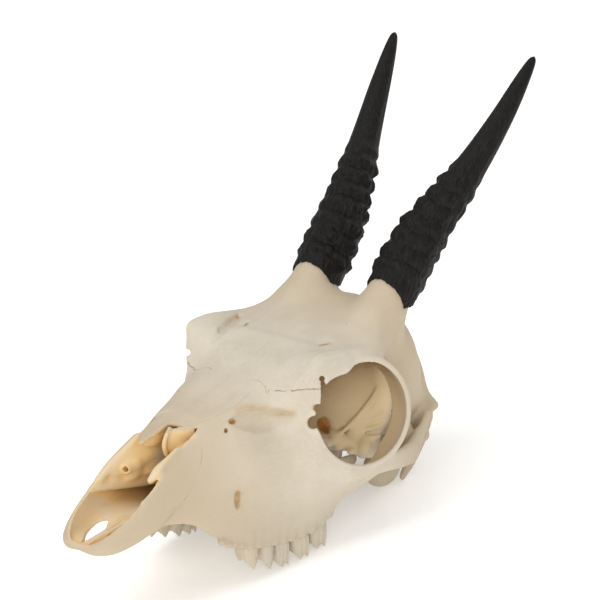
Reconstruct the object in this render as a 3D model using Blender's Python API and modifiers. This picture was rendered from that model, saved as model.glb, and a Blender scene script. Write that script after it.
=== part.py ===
"""Skull of a small antelope (a duiker) with its two horn sheaths and ten upper cheek teeth.

The shape is measured in the skull's own frame, in millimetres: +X is the animal's left, +Y runs from
the snout to the back of the head, and +Z is up with the tooth rows level. settle() then tips the skull
back onto its teeth and the points beside its ear bulbs, as it stands on a table, in metres.
"""
import math

import bmesh
import bpy
import numpy as np
from mathutils import Euler, Matrix, Vector

MM = 0.001

# Driving dimensions, in millimetres
BONE_GRAIN = 1.0
BONE_TRIANGLES = 5200
FIT_GAP = 0.4
ORBIT_RADIUS = 19.0
ORBIT_RIM = (33.0, 102.0, 44.0)
ORBIT_FACING = (0.95, -0.285, 0.124)
ORBIT_DEPTH = 6.0
ORBIT_BAR = 2.3
SHEATH_WALL = 2.4
SHEATH_RIM_WALL = 1.7
SHEATH_SIDES = 14
RING_HEIGHT = 1.2
CORE_ROOT = 9.0
NASAL_THICKNESS = 2.4
SOCKET_DEPTH = 5.4
ROOT_DEPTH = 4.9
TOOTH_SIDES = 12
CUSP_HEIGHT = 1.7
INNER_EDGE_RISE = 1.6
BASIN_DEPTH = 3.2
HEEL_STARTS_AT = 0.120

# Outlines of the left half, each from the top midline to the bottom midline: (y, [(x, z), ...])
FACE = [
    (1.5, [(0, 12.3), (2, 12.6), (4, 12.8), (5.4, 12.6), (6.2, 12), (6.6, 11.2),
           (6.4, 10.2), (5.4, 9.6), (4, 9.4), (2, 9.5), (0, 9.7)]),
    (9, [(0, 18.3), (4, 18.5), (8, 18.8), (10.2, 18.6), (11.3, 16.8), (11.7, 14.5),
         (11.5, 12), (10.4, 9.3), (7.5, 9.2), (4, 9.6), (0, 10)]),
    (20, [(0, 26), (5, 26.2), (9.7, 26.3), (12.2, 26), (13.5, 24), (14.3, 21),
          (14.5, 17), (13.8, 14), (10.5, 13), (5.5, 13), (0, 13)]),
    (31, [(0, 33), (5, 33.4), (8.6, 33.7), (11.4, 33.2), (13.2, 31), (14.6, 26.5),
          (15.3, 21), (14.8, 15.9), (11.3, 15), (5.5, 15), (0, 15)]),
    (40, [(0, 40), (4, 40.2), (7.4, 40.4), (10.2, 39.6), (12.3, 36.5), (15, 30),
          (16.8, 22), (16.6, 14.2), (12.5, 13.6), (6, 14.5), (0, 15)]),
    (48, [(0, 46.3), (4, 46.3), (8, 46.2), (10.6, 44.9), (12.8, 41), (16, 33),
          (19, 22), (20, 8.8), (14.5, 9.5), (7, 13), (0, 14)]),
    (56, [(0, 49.2), (5, 49), (9.5, 48.7), (13, 47.2), (15.2, 43), (18.3, 34),
          (21.2, 22), (23.4, 4.4), (15.6, 5.4), (8, 11.5), (0, 12.5)]),
    (64, [(0, 52.3), (6, 52.2), (11.5, 51.8), (16, 49.6), (17, 45), (20.5, 35),
          (23.8, 22), (25.4, 3.8), (15.4, 4.4), (8, 10.5), (0, 11.5)]),
    (72, [(0, 55.8), (7, 55.7), (14, 54.5), (20.3, 50.2), (20, 45), (22.5, 36),
          (26, 23), (26.8, 3.6), (15.4, 4.2), (8, 10), (0, 11)]),
    (78, [(0, 58.3), (8, 58.3), (17, 57.5), (25, 52), (24.3, 45), (24.8, 36),
          (28, 24), (27.8, 4), (15.4, 4.2), (8, 10), (0, 11)]),
    (84, [(0, 61), (9, 61.2), (20, 63), (29.4, 64), (29.8, 52), (29.3, 40),
          (31, 26), (28.5, 5), (15.4, 4.5), (8, 10), (0, 11)]),
    (90, [(0, 63.2), (10, 63.3), (21, 65.5), (31, 65), (31, 50), (31, 40),
          (33.5, 27), (28.5, 6.5), (15.4, 5.2), (8, 10), (0, 11)]),
    (96, [(0, 65), (10, 65), (22, 66), (31.6, 64.5), (32, 50), (32.5, 40),
          (35, 27), (28, 9.5), (15.6, 6.5), (8, 10.5), (0, 11)]),
    (99, [(0, 62), (10, 62), (20, 62), (28, 60), (29, 50), (30, 40),
          (33, 27), (26, 13), (17, 9), (8.5, 12.5), (0, 13)]),
]
BROW = [
    (76, [(0, 53), (8, 53), (15, 52.5), (20, 52), (22, 51), (22, 50), (19, 49.5), (12, 49), (0, 49)]),
    (80, [(0, 57.6), (8, 57.6), (17, 58), (23, 59), (26, 59.5), (26.8, 57), (24, 54.5), (12, 53), (0, 53)]),
    (84.5, [(0, 60.4), (9, 60.5), (19, 62), (25, 64.4), (29.2, 65.4), (30.4, 62),
            (28, 57), (12, 55), (0, 55)]),
    (92, [(0, 63.8), (10, 63.8), (19, 64.4), (26, 66.8), (30.8, 66), (32, 62.5),
          (30.5, 58.5), (12, 57), (0, 57)]),
    (100, [(0, 66.4), (10, 66.4), (19, 66.4), (26, 67.3), (31, 65.8), (32.4, 62.6),
           (31, 60), (12, 58), (0, 58)]),
    (108, [(0, 69), (10, 69), (19, 69), (25, 68.6), (30.6, 66), (32.4, 62.8),
           (31, 60.3), (12, 58), (0, 58)]),
    (115, [(0, 71.2), (10, 71.2), (18, 72), (23.5, 71.6), (28.6, 68), (31.4, 63.5),
           (29.5, 59), (12, 58), (0, 58)]),
    (122, [(0, 73.3), (9, 73.6), (16.5, 75.6), (22, 74.8), (25, 70.5), (27, 64),
           (24, 58), (12, 57), (0, 57)]),
    (129, [(0, 74.8), (8, 75), (15, 76.5), (20.8, 75.5), (23.6, 71), (24.3, 64),
           (22, 58), (12, 57), (0, 57)]),
    (136, [(0, 74), (7, 73.5), (13, 72.5), (18, 70), (21, 67), (21.5, 62), (20, 57), (10, 56), (0, 56)]),
]
BRAINCASE = [
    (94, [(0, 60), (5, 60), (8, 55), (9, 45), (9, 35), (8, 26), (5, 20), (0, 19)]),
    (106, [(0, 64), (7, 63), (11, 56), (12, 46), (11.5, 36), (10, 28), (6.5, 23), (0, 22)]),
    (113, [(0, 68), (9, 67), (15, 60), (17, 50), (16, 40), (13, 32), (8, 26), (0, 24.5)]),
    (120, [(0, 71), (11, 70), (19, 63), (22, 53), (21.5, 43), (17.5, 34), (10, 27), (0, 25)]),
    (128, [(0, 73), (12, 72), (21, 65), (25, 55), (24.8, 44), (21, 34), (12, 26.5), (0, 22.5)]),
    (136, [(0, 73.2), (12, 71.8), (21.2, 64.8), (25.8, 55.2), (26, 45), (23, 34), (13, 25), (0, 20.5)]),
    (143, [(0, 70.9), (11, 69.3), (19.8, 62.8), (24, 54), (24.2, 44.5), (22.6, 34.5),
           (13, 24.2), (0, 19.3)]),
    (149, [(0, 67.7), (9.8, 65.8), (16.4, 60), (19.8, 52), (20.6, 43.5), (20.6, 35),
           (13, 23.5), (0, 18.3)]),
    (155, [(0, 63), (7.4, 60.8), (12.2, 55.5), (15, 48.5), (16.2, 42.5), (18.2, 35.5),
           (13, 23), (0, 17.5)]),
    (160, [(0, 56.5), (5, 54.5), (8.4, 50), (10.8, 45.5), (12.6, 41), (14.4, 34), (11.5, 23.5), (0, 18)]),
    (164.5, [(0, 45.5), (3, 44.5), (5, 42), (6.5, 39), (7.5, 35.5), (8, 31), (6.5, 25.5), (0, 22)]),
]
NOSE_HOLLOW = [
    (4.8, [(0, 24), (3, 24), (4.6, 17.5), (4.8, 15), (4.2, 13.4), (2, 13), (0, 13)]),
    (8, [(0, 30), (5, 30), (7.6, 19), (8.2, 16), (7.4, 13), (3, 12.5), (0, 12.5)]),
    (17, [(0, 38), (8, 38), (10.4, 24.5), (11.3, 19.5), (10.6, 15.6), (5.5, 15), (0, 15)]),
    (31, [(0, 48), (8, 48), (9.6, 34.5), (12, 28), (12.3, 20.5), (7, 17.6), (0, 17.6)]),
    (40, [(0, 54), (7.3, 54), (8.8, 41), (12, 32), (13.6, 22), (8, 17.8), (0, 17.8)]),
    (46, [(0, 56), (7, 56), (8.8, 46), (12.4, 36), (15.4, 24), (9.5, 17.5), (0, 17.5)]),
    (50, [(0, 43.5), (4.5, 43.5), (8.6, 42), (12.4, 36), (16, 24), (10, 17), (0, 17)]),
    (58, [(0, 44), (5, 44), (9.5, 41.5), (13, 35), (16, 25), (10.5, 17), (0, 17)]),
    (62, [(0, 41), (4, 41), (7, 39), (9, 34), (10, 27), (7, 20), (0, 20)]),
]

# The free ends of the nasal bones in plan, (x, y): the left one ends short, the right one is pointed
NASAL_PLAN = [(9, 55), (9.2, 48), (8.3, 45), (0.8, 43.5), (0.8, 38), (0.5, 31), (-0.5, 30),
              (-2.5, 31.5), (-5, 36), (-7.5, 42), (-9.2, 48), (-9, 55)]
NASAL_TIP = (30.0, 38.2)
NASAL_SLOPE = 0.40
NASAL_ARCH = 0.024

# The left horn: points up its middle, and its radius at even steps of its length
HORN_LINE = [(17.0, 134.2, 76.5), (18.4, 147.7, 95.0), (23.6, 163.7, 115.0),
             (28.4, 177.6, 135.3), (32.0, 190.6, 156.9)]
HORN_RADII = [8.9, 9.0, 8.4, 7.1, 5.9, 4.9, 4.0, 3.0, 0.5]
HORN_RINGS = 8
FIRST_RING = 0.085
RING_STEP = 0.0635
RIM_WAVE = 2.4
SMOOTH_STATIONS = 8
HOLLOW_PLACES = [0.0, 0.13, 0.25, 0.37, 0.49, 0.61]

# Left cheek teeth: name, front y, back y, outer x, width, gum z, tip z and number of outer points
TEETH = [
    ("p3", 55.6, 63.9, 24.2, 7.0, 4.4, -4.4, 1),
    ("p4", 64.3, 70.2, 24.9, 7.6, 3.9, -5.2, 1),
    ("m1", 70.6, 78.0, 25.7, 8.4, 3.8, -5.4, 2),
    ("m2", 78.4, 87.4, 26.6, 8.8, 4.2, -5.6, 2),
    ("m3", 87.8, 96.8, 26.4, 8.4, 6.2, -3.8, 2),
]

# Colours: linear base colour and roughness of each material
BONE = ("bone", (0.72, 0.64, 0.50), 0.55)
HORN = ("horn", (0.012, 0.009, 0.007), 0.45)
ENAMEL = ("tooth enamel", (0.78, 0.70, 0.55), 0.30)


def clear_scene():
    """Empty the file of the objects that it starts with."""
    for item in list(bpy.data.objects):
        bpy.data.objects.remove(item, do_unlink=True)


def new_collection(name):
    """A collection in the scene."""
    group = bpy.data.collections.new(name)
    bpy.context.scene.collection.children.link(group)
    return group


def smooth_curve(points, steps):
    """Points along a smooth curve through the given ones, with the same number between each pair."""
    given = np.asarray(points, dtype=float)
    padded = np.vstack([2 * given[0] - given[1], given, 2 * given[-1] - given[-2]])
    curve = []
    for index in range(len(given) - 1):
        before, start, end, after = padded[index:index + 4]
        for t in np.arange(steps) / steps:
            bend = (2 * start, end - before, 2 * before - 5 * start + 4 * end - after,
                    3 * start - before - 3 * end + after)
            curve.append(0.5 * (bend[0] + bend[1] * t + bend[2] * t ** 2 + bend[3] * t ** 3))
    curve.append(given[-1])
    return np.array(curve)


def object_from(mesh, name):
    """An object that shows a mesh, kept among the working forms until it is a finished node."""
    item = bpy.data.objects.new(name, mesh)
    WORK.objects.link(item)
    item.hide_render = True
    item.display_type = "WIRE"
    return item


def skin(rings, name, first_centre=None, last_centre=None):
    """A closed solid over rings of points, its ends closed by one face or by a fan to a point."""
    form = bmesh.new()
    loops = [[form.verts.new(Vector(point) * MM) for point in ring] for ring in rings]
    count = len(loops[0])
    for lower, upper in zip(loops, loops[1:]):
        for side in range(count):
            after = (side + 1) % count
            form.faces.new((lower[side], lower[after], upper[after], upper[side]))
    for loop, centre in ((loops[0][::-1], first_centre), (loops[-1], last_centre)):
        if centre is None:
            form.faces.new(loop)
            continue
        middle = form.verts.new(Vector(centre) * MM)
        for side in range(count):
            form.faces.new((loop[side], loop[(side + 1) % count], middle))
    bmesh.ops.recalc_face_normals(form, faces=form.faces)
    mesh = bpy.data.meshes.new(name)
    form.to_mesh(mesh)
    form.free()
    return object_from(mesh, name)


def loft(sections, name, across=3, along=4):
    """A form with mirrored halves, drawn smoothly through its outlines from front to back."""
    halves = np.array([[(x, y, z) for x, z in smooth_curve(outline, across)] for y, outline in sections])
    halves = np.stack([smooth_curve(halves[:, place], along) for place in range(halves.shape[1])], axis=1)
    halves[:, 0, 0] = 0
    halves[:, -1, 0] = 0
    mirror = np.array([-1, 1, 1])
    rings = [np.vstack([half, half[-2:0:-1] * mirror]) for half in halves]
    return skin(rings, name)


def mesh_from_curve(curve, name):
    """Turn a curve into a mesh with welded caps, and remove the curve."""
    guide = bpy.data.objects.new(name, curve)
    WORK.objects.link(guide)
    bpy.context.view_layer.update()
    evaluated = guide.evaluated_get(bpy.context.evaluated_depsgraph_get())
    mesh = bpy.data.meshes.new_from_object(evaluated)
    form = bmesh.new()
    form.from_mesh(mesh)
    bmesh.ops.remove_doubles(form, verts=form.verts, dist=0.00001)
    form.to_mesh(mesh)
    form.free()
    item = object_from(mesh, name)
    item.matrix_world = guide.matrix_world.copy()
    bpy.data.objects.remove(guide, do_unlink=True)
    return item


def rod(name, points, radii, flat_along=None, flatness=1.0):
    """A bent rod through points, with its own radius at each, squashed along one direction."""
    line = smooth_curve([(*point, radius) for point, radius in zip(points, radii)], 3)
    curve = bpy.data.curves.new(name, "CURVE")
    curve.dimensions = "3D"
    curve.bevel_depth = MM
    curve.bevel_resolution = 2
    curve.use_fill_caps = True
    spline = curve.splines.new("POLY")
    spline.points.add(len(line) - 1)
    for point, (x, y, z, radius) in zip(spline.points, line):
        point.co = (x * MM, y * MM, z * MM, 1)
        point.radius = radius
    item = mesh_from_curve(curve, name)
    if flat_along is not None:
        squash(item, line[:, :3] * MM, Vector(flat_along).normalized(), flatness)
    return item


def squash(item, line, direction, flatness):
    """Press a rod's wall towards its own middle line along one direction."""
    for vertex in item.data.vertices:
        nearest = line[np.argmin(((line - vertex.co) ** 2).sum(axis=1))]
        off = (vertex.co - Vector(nearest)).dot(direction)
        vertex.co -= direction * off * (1 - 1 / flatness)


def ball(name, centre, radii, turn=(0, 0, 0)):
    """An egg-shaped ball, turned by degrees about X, Y and Z."""
    form = bmesh.new()
    bmesh.ops.create_uvsphere(form, u_segments=24, v_segments=14, radius=1)
    mesh = bpy.data.meshes.new(name)
    form.to_mesh(mesh)
    form.free()
    angles = Euler([math.radians(degrees) for degrees in turn])
    place = Matrix.LocRotScale(Vector(centre) * MM, angles, Vector(radii) * MM)
    mesh.transform(place)
    return object_from(mesh, name)


def mirrored(item):
    """The same form on the animal's right."""
    mesh = item.data.copy()
    mesh.transform(Matrix.Scale(-1, 4, (1, 0, 0)))
    mesh.flip_normals()
    return object_from(mesh, item.name + " right")


def both_sides(items):
    """Forms of the left half with their mirror images."""
    return items + [mirrored(item) for item in items]


def joined(items, name):
    """One object that holds several forms' surfaces."""
    form = bmesh.new()
    for item in items:
        mesh = item.data.copy()
        mesh.transform(item.matrix_world)
        form.from_mesh(mesh)
        bpy.data.meshes.remove(mesh)
        bpy.data.objects.remove(item, do_unlink=True)
    mesh = bpy.data.meshes.new(name)
    form.to_mesh(mesh)
    form.free()
    return object_from(mesh, name)


def apply_modifiers(item):
    """Fix an object's modifiers into its mesh."""
    bpy.context.view_layer.update()
    evaluated = item.evaluated_get(bpy.context.evaluated_depsgraph_get())
    mesh = bpy.data.meshes.new_from_object(evaluated)
    item.modifiers.clear()
    item.data = mesh


def fuse(item, grain, rounds):
    """Melt an object's overlapping forms into one skin, and soften the joins between them."""
    melt = item.modifiers.new("melt", "REMESH")
    melt.mode = "VOXEL"
    melt.voxel_size = grain * MM
    soften = item.modifiers.new("soften", "SMOOTH")
    soften.factor = 0.5
    soften.iterations = rounds
    apply_modifiers(item)


def combine(item, other, operation):
    """Add a second form to an object, or take it away, and remove that form."""
    step = item.modifiers.new(operation.lower(), "BOOLEAN")
    step.operation = operation
    step.solver = "EXACT"
    step.use_self = True
    step.object = other
    apply_modifiers(item)
    bpy.data.objects.remove(other, do_unlink=True)


def orbit_turn():
    """The turn from +Z to the way that the left eye socket faces."""
    return Vector(ORBIT_FACING).to_track_quat("Z", "Y").to_euler()


def orbit_bar():
    """The ring of bone round the left eye socket."""
    bpy.ops.mesh.primitive_torus_add(
        major_radius=(ORBIT_RADIUS + 0.5 * ORBIT_BAR) * MM, minor_radius=ORBIT_BAR * MM,
        major_segments=48, minor_segments=12,
        location=Vector(ORBIT_RIM) * MM - Vector(ORBIT_FACING).normalized() * ORBIT_BAR * MM,
        rotation=orbit_turn())
    ring = bpy.context.object
    mesh = ring.data.copy()
    mesh.transform(ring.matrix_world)
    bpy.data.objects.remove(ring, do_unlink=True)
    return object_from(mesh, "orbit bar")


def bone_forms():
    """The forms that the skull is melted from."""
    left = [
        rod("pedicle", [(15.5, 122, 60), (16.4, 129.5, 70), (17, 134, 77), (17.3, 137, 81)],
            [9.5, 9.0, 8.3, 7.6]),
        rod("jugal root", [(29, 94, 20), (32, 101, 21.5), (34.6, 108, 24)], [6, 5, 3.8],
            (1, -0.2, -0.2), 1.5),
        rod("cheek arch", [(31.5, 92, 26), (35.2, 99, 24.6), (37, 107, 25), (37.2, 115, 25.4),
                           (36, 122, 25.2), (33.6, 129, 25.4), (30.6, 136, 27.6), (28.2, 142, 30.6),
                           (24, 147, 33)],
            [3.6, 3.4, 3.2, 3.4, 4.0, 4.3, 3.8, 3.0, 3.0], (1, 0.15, -0.1), 1.7),
        rod("jaw joint", [(19, 137, 31), (26, 135.5, 27), (32, 131, 23.5)], [5, 4, 2.8]),
        rod("ear tube", [(16, 139, 19), (21.5, 143, 23.5), (25, 146, 27.5)], [4, 3.4, 3.0]),
        rod("paroccipital point", [(18, 154.5, 30), (18.2, 152.2, 22), (17, 149.8, 14), (15.2, 147.8, 7.5)],
            [4.6, 3.6, 2.7, 1.8], (0.9, 0.3, 0.1), 1.3),
        rod("nape ridge", [(0, 160, 54), (6, 159, 50.5), (11.5, 157.5, 45), (16.5, 155.5, 38.5),
                           (20.4, 156.5, 34)], [2.4, 2.2, 2.0, 2.0, 2.0]),
        rod("pterygoid plate", [(7.5, 94, 13), (7.8, 102, 14.5), (8, 109, 18), (8, 118, 20.5),
                                (8.6, 128, 20)], [4, 4.2, 3.4, 2.8, 2.8], (1, 0, 0), 2.0),
        ball("ear bulb", (14.4, 137, 14.8), (5.8, 8.4, 7.6), (0, 6, 8)),
        ball("condyle", (7.6, 161, 21.8), (4.9, 5.4, 6.6), (-20, 0, 15)),
        orbit_bar(),
    ]
    middle = [
        loft(FACE, "face"),
        loft(BROW, "brow"),
        loft(BRAINCASE, "braincase"),
        rod("skull base", [(0, 126, 22), (0, 140, 19), (0, 152, 18), (0, 159, 18.5)], [4, 5, 6, 6.5],
            (0, 0, 1), 1.6),
    ]
    return middle + both_sides(left)


def bone_hollows():
    """The forms that are taken out of the skull."""
    facing = Vector(ORBIT_FACING).normalized()
    socket_centre = Vector(ORBIT_RIM) - facing * ORBIT_DEPTH
    socket_radius = math.hypot(ORBIT_RADIUS, ORBIT_DEPTH)
    left = [
        ball("eye socket", socket_centre, [socket_radius] * 3, (0, 0, 10)),
        ball("eye socket front corner", (29.5, 93.6, 52.4), (8.5, 8, 7.6)),
        ball("hollow before the eye", (34, 69, 42.5), (12, 14, 8), (0, -12, 14)),
        rod("palate slot", [(3.6, 7.6, 7), (5.0, 11, 12), (5.6, 19, 13.5), (5.4, 23, 18)],
            [1.4, 2.2, 2.2, 1.6]),
        rod("nerve opening", [(18.5, 56, 21), (26, 51.5, 20)], [1.5, 1.9]),
    ]
    middle = [
        loft(NOSE_HOLLOW, "nose hollow", across=2, along=2),
        rod("throat opening", [(0, 88, 16), (0, 100, 15.5), (0, 112, 14.5)], [4.6, 5.4, 5.2]),
        rod("spinal opening", [(0, 172, 25.5), (0, 162, 28.5), (0, 150, 35)], [6.8, 7.2, 10]),
        ball("brain hollow", (0, 137, 46.5), (19, 19, 17.5)),
    ]
    return middle + both_sides(left)


def nasal_plate():
    """The free ends of the two nasal bones: a flat outline, then sloped and arched."""
    curve = bpy.data.curves.new("nasal ends", "CURVE")
    curve.dimensions = "2D"
    curve.fill_mode = "BOTH"
    curve.extrude = 0.5 * NASAL_THICKNESS * MM
    outline = curve.splines.new("POLY")
    outline.points.add(len(NASAL_PLAN) - 1)
    outline.use_cyclic_u = True
    for point, (x, y) in zip(outline.points, NASAL_PLAN):
        point.co = (x * MM, y * MM, 0, 1)
    item = mesh_from_curve(curve, "nasal ends")
    for vertex in item.data.vertices:
        x, y = vertex.co.x / MM, vertex.co.y / MM
        rise = NASAL_TIP[1] + NASAL_SLOPE * (y - NASAL_TIP[0]) - NASAL_ARCH * x ** 2
        vertex.co.z += rise * MM
    return item


def nose_scroll():
    """The scrolled bone inside the left half of the nose."""
    return rod("nose scroll", [(5.2, 29, 29.5), (5.2, 38, 33), (5.6, 49, 35.5), (6, 64, 36)],
               [2.4, 3.0, 3.2, 3.0])


def horn_stations(places):
    """At shares of the left horn's length: centres, directions along and across it, and radii."""
    line = smooth_curve(HORN_LINE, 24)
    travelled = np.concatenate([[0], np.cumsum(np.linalg.norm(np.diff(line, axis=0), axis=1))])
    share = travelled / travelled[-1]
    centres = np.array([np.interp(places, share, line[:, axis]) for axis in range(3)]).T
    slopes = np.gradient(line, axis=0)
    forward = np.array([np.interp(places, share, slopes[:, axis]) for axis in range(3)]).T
    forward /= np.linalg.norm(forward, axis=1)[:, None]
    outward = np.array([1.0, 0, 0]) - forward * forward[:, :1]
    outward /= np.linalg.norm(outward, axis=1)[:, None]
    backward = np.cross(forward, outward)
    radii = np.interp(places, np.linspace(0, 1, len(HORN_RADII)), HORN_RADII)
    return zip(places, centres, forward, outward, backward, radii)


def rim_share(place):
    """How much a station belongs to the sheath's edge: 1 at the edge, 0 from the second ring on."""
    return max(0.0, 1 - place / (2 * RING_STEP))


def sheath_places():
    """Stations up a sheath: one on each growth ring, one between, and a few up the smooth tip."""
    ringed = [FIRST_RING + 0.5 * RING_STEP * step for step in range(2 * HORN_RINGS)]
    return [0, 0.5 * FIRST_RING] + ringed + list(np.linspace(ringed[-1], 1, SMOOTH_STATIONS)[1:])


def ring_rise(place):
    """How far the growth rings swell the sheath at a share of its length."""
    crests = FIRST_RING + RING_STEP * np.arange(HORN_RINGS)
    return RING_HEIGHT if np.abs(crests - place).min() < 0.1 * RING_STEP else 0.0


def horn_ring(station, radius, drop=0.0):
    """Points round the horn, waved along it near the base as the sheath's edge is."""
    place, centre, forward, outward, backward, _ = station
    points = []
    for side in range(SHEATH_SIDES):
        angle = 2 * math.pi * side / SHEATH_SIDES
        across = outward * math.cos(angle) + backward * math.sin(angle)
        wave = -RIM_WAVE * math.cos(2 * angle) * rim_share(place) - drop
        points.append(centre + across * radius + forward * wave)
    return points


def sheath_rings(margin=0.0):
    """The outside of a horn sheath, from its waved edge up to its tip."""
    stations = list(horn_stations(sheath_places()))[:-1]
    drops = [margin] + [0.0] * (len(stations) - 1)
    return [horn_ring(station, station[-1] + ring_rise(station[0]) + margin, drop)
            for station, drop in zip(stations, drops)]


def hollow_rings(places, margin=0.0):
    """The sheath's hollow, which widens at the edge, less a margin."""
    rings = []
    for station in horn_stations(places):
        wall = SHEATH_WALL + (SHEATH_RIM_WALL - SHEATH_WALL) * rim_share(station[0])
        rings.append(horn_ring(station, station[-1] - wall - margin))
    return rings


def horn_point(place, below=0.0):
    """A point on the horn's middle line, or below its base."""
    _, centre, forward, _, _, _ = next(horn_stations([place]))
    return centre - forward * below


def horn_sheath():
    """The left horn sheath: ringed outside, hollow to beyond its middle, solid at the tip."""
    rings = hollow_rings(HOLLOW_PLACES)[::-1] + sheath_rings()
    return skin(rings, "horn sheath", horn_point(HOLLOW_PLACES[-1] + 0.03), horn_point(1.0))


def sheath_room():
    """The room that a sheath takes, with its gap: the bone is cut back to it."""
    root = next(horn_stations([0.0]))
    under_edge = horn_ring(root, 0.5 * HORN_RADII[0], FIT_GAP)
    rings = [under_edge] + sheath_rings(FIT_GAP)
    return skin(rings, "sheath room", horn_point(0.0, FIT_GAP), horn_point(1.0))


def horn_core():
    """The bony core that fills the sheath's hollow, with its gap, rooted in the pedicle."""
    rings = hollow_rings(HOLLOW_PLACES[:-1], FIT_GAP)
    root = next(horn_stations([0.0]))
    rings.insert(0, [point - root[2] * CORE_ROOT for point in rings[0]])
    tip = horn_point(0.5 * (HOLLOW_PLACES[-2] + HOLLOW_PLACES[-1]))
    return skin(rings, "horn core", horn_point(0.0, CORE_ROOT), tip)


def tooth_outline(front, back, outer, width):
    """A rounded block's outline across a tooth, as (x, y) points."""
    points = []
    middle_x = outer - 0.5 * width
    middle_y = 0.5 * (front + back)
    for side in range(TOOTH_SIDES):
        angle = 2 * math.pi * (side + 0.5) / TOOTH_SIDES
        corner = 1 / (abs(math.cos(angle)) ** 3 + abs(math.sin(angle)) ** 3) ** (1 / 3)
        x = middle_x + 0.5 * width * corner * math.cos(angle)
        y = middle_y + 0.5 * (back - front) * corner * math.sin(angle)
        points.append((x, y))
    return points


def tooth(front, back, outer, width, gum, tip, cusps):
    """A cheek tooth with its roots up in the jaw and its chewing edge down."""
    middle_x = outer - 0.5 * width
    middle_y = 0.5 * (front + back)
    rings = []
    for height, share in ((gum + ROOT_DEPTH, 0.72), (gum, 0.93), (0.5 * (gum + tip), 1.0)):
        outline = tooth_outline(front, back, outer, width)
        rings.append([(middle_x + (x - middle_x) * share, middle_y + (y - middle_y) * share, height)
                      for x, y in outline])
    edge = []
    for x, y in tooth_outline(front, back, outer, width):
        along = (y - front) / (back - front)
        point = abs(math.sin(math.pi * cusps * along))
        inner = (outer - x) / width
        height = tip + (1 - point) * CUSP_HEIGHT + inner * INNER_EDGE_RISE
        edge.append((middle_x + (x - middle_x) * 0.86, middle_y + (y - middle_y) * 0.94, height))
    rings.append(edge)
    return skin(rings, "tooth", None, (middle_x, middle_y, tip + BASIN_DEPTH))


def tooth_trench():
    """The row of sockets that the left cheek teeth stand in."""
    rings = []
    for _, front, back, outer, width, gum, _, _ in TEETH:
        low_x, high_x = outer - width - FIT_GAP, outer + FIT_GAP
        top = gum + SOCKET_DEPTH
        for y in (front, back):
            rings.append([(low_x, y, -8), (high_x, y, -8), (high_x, y, top), (low_x, y, top)])
    rings[0] = [(x, y - FIT_GAP, z) for x, y, z in rings[0]]
    rings[-1] = [(x, y + FIT_GAP, z) for x, y, z in rings[-1]]
    return skin(rings, "tooth trench")


def settle(items):
    """Tip the skull back until it touches at its teeth and its rear points, and centre its box."""
    corners = np.array([vertex.co for item in items for vertex in item.data.vertices])
    heel = corners[corners[:, 1] > HEEL_STARTS_AT]
    teeth = corners[corners[:, 1] <= HEEL_STARTS_AT]
    pitch = 0.0
    for _ in range(20):
        turned_teeth = teeth[:, 2] * math.cos(pitch) - teeth[:, 1] * math.sin(pitch)
        turned_heel = heel[:, 2] * math.cos(pitch) - heel[:, 1] * math.sin(pitch)
        front, back = teeth[turned_teeth.argmin()], heel[turned_heel.argmin()]
        pitch = math.atan2(back[2] - front[2], back[1] - front[1])
    turn = Matrix.Rotation(-pitch, 4, "X")
    turned = np.array([turn @ Vector(corner) for corner in corners])
    low, high = turned.min(axis=0), turned.max(axis=0)
    shift = Matrix.Translation((-0.5 * (low[0] + high[0]), -0.5 * (low[1] + high[1]), -low[2]))
    for item in items:
        item.data.transform(shift @ turn)
    print("pitch", round(math.degrees(pitch), 3), "size", np.round((high - low) * 1000, 2))
    print("shift", [round(value * 1000, 2) for value in shift.translation])


def finish_node(item, name, look, sharp_above=40):
    """Name a finished solid, give it its material and show it in the skull's collection."""
    WORK.objects.unlink(item)
    NODES.objects.link(item)
    item.name = name
    item.data.name = name
    item.hide_render = False
    item.display_type = "SOLID"
    title, colour, roughness = look
    material = bpy.data.materials.get(title) or bpy.data.materials.new(title)
    material.use_nodes = True
    shader = material.node_tree.nodes["Principled BSDF"]
    shader.inputs["Base Color"].default_value = (*colour, 1)
    shader.inputs["Roughness"].default_value = roughness
    shader.inputs["Metallic"].default_value = 0
    item.data.materials.clear()
    item.data.materials.append(material)
    item.data.shade_smooth()
    item.data.set_sharp_from_angle(angle=math.radians(sharp_above))
    return item


def build_skull():
    """The skull bone: melted, hollowed, thinned to few faces, then cut to fit its loose pieces."""
    bone = joined(bone_forms(), "bone")
    fuse(bone, BONE_GRAIN, 5)
    hollows = joined(bone_hollows(), "bone hollows")
    fuse(hollows, BONE_GRAIN, 2)
    combine(bone, hollows, "DIFFERENCE")
    additions = joined([nasal_plate()] + both_sides([nose_scroll()]), "nose additions")
    combine(bone, additions, "UNION")
    fuse(bone, 0.8 * BONE_GRAIN, 2)
    thin = bone.modifiers.new("thin", "DECIMATE")
    bone.data.calc_loop_triangles()
    thin.ratio = BONE_TRIANGLES / len(bone.data.loop_triangles)
    apply_modifiers(bone)
    for room in both_sides([sheath_room(), tooth_trench()]):
        combine(bone, room, "DIFFERENCE")
    for core in both_sides([horn_core()]):
        combine(bone, core, "UNION")
    return bone


clear_scene()
NODES = new_collection("duiker skull")
WORK = new_collection("working forms")

skull = build_skull()
pieces = [(skull, "skull", BONE)]
left_sheath = horn_sheath()
pieces.append((left_sheath, "horn_sheath_left", HORN))
pieces.append((mirrored(left_sheath), "horn_sheath_right", HORN))
for label, *sizes in TEETH:
    left_tooth = tooth(*sizes)
    pieces.append((left_tooth, "tooth_" + label + "_left", ENAMEL))
    pieces.append((mirrored(left_tooth), "tooth_" + label + "_right", ENAMEL))
nodes = [finish_node(*piece) for piece in pieces]
settle(nodes)
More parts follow.
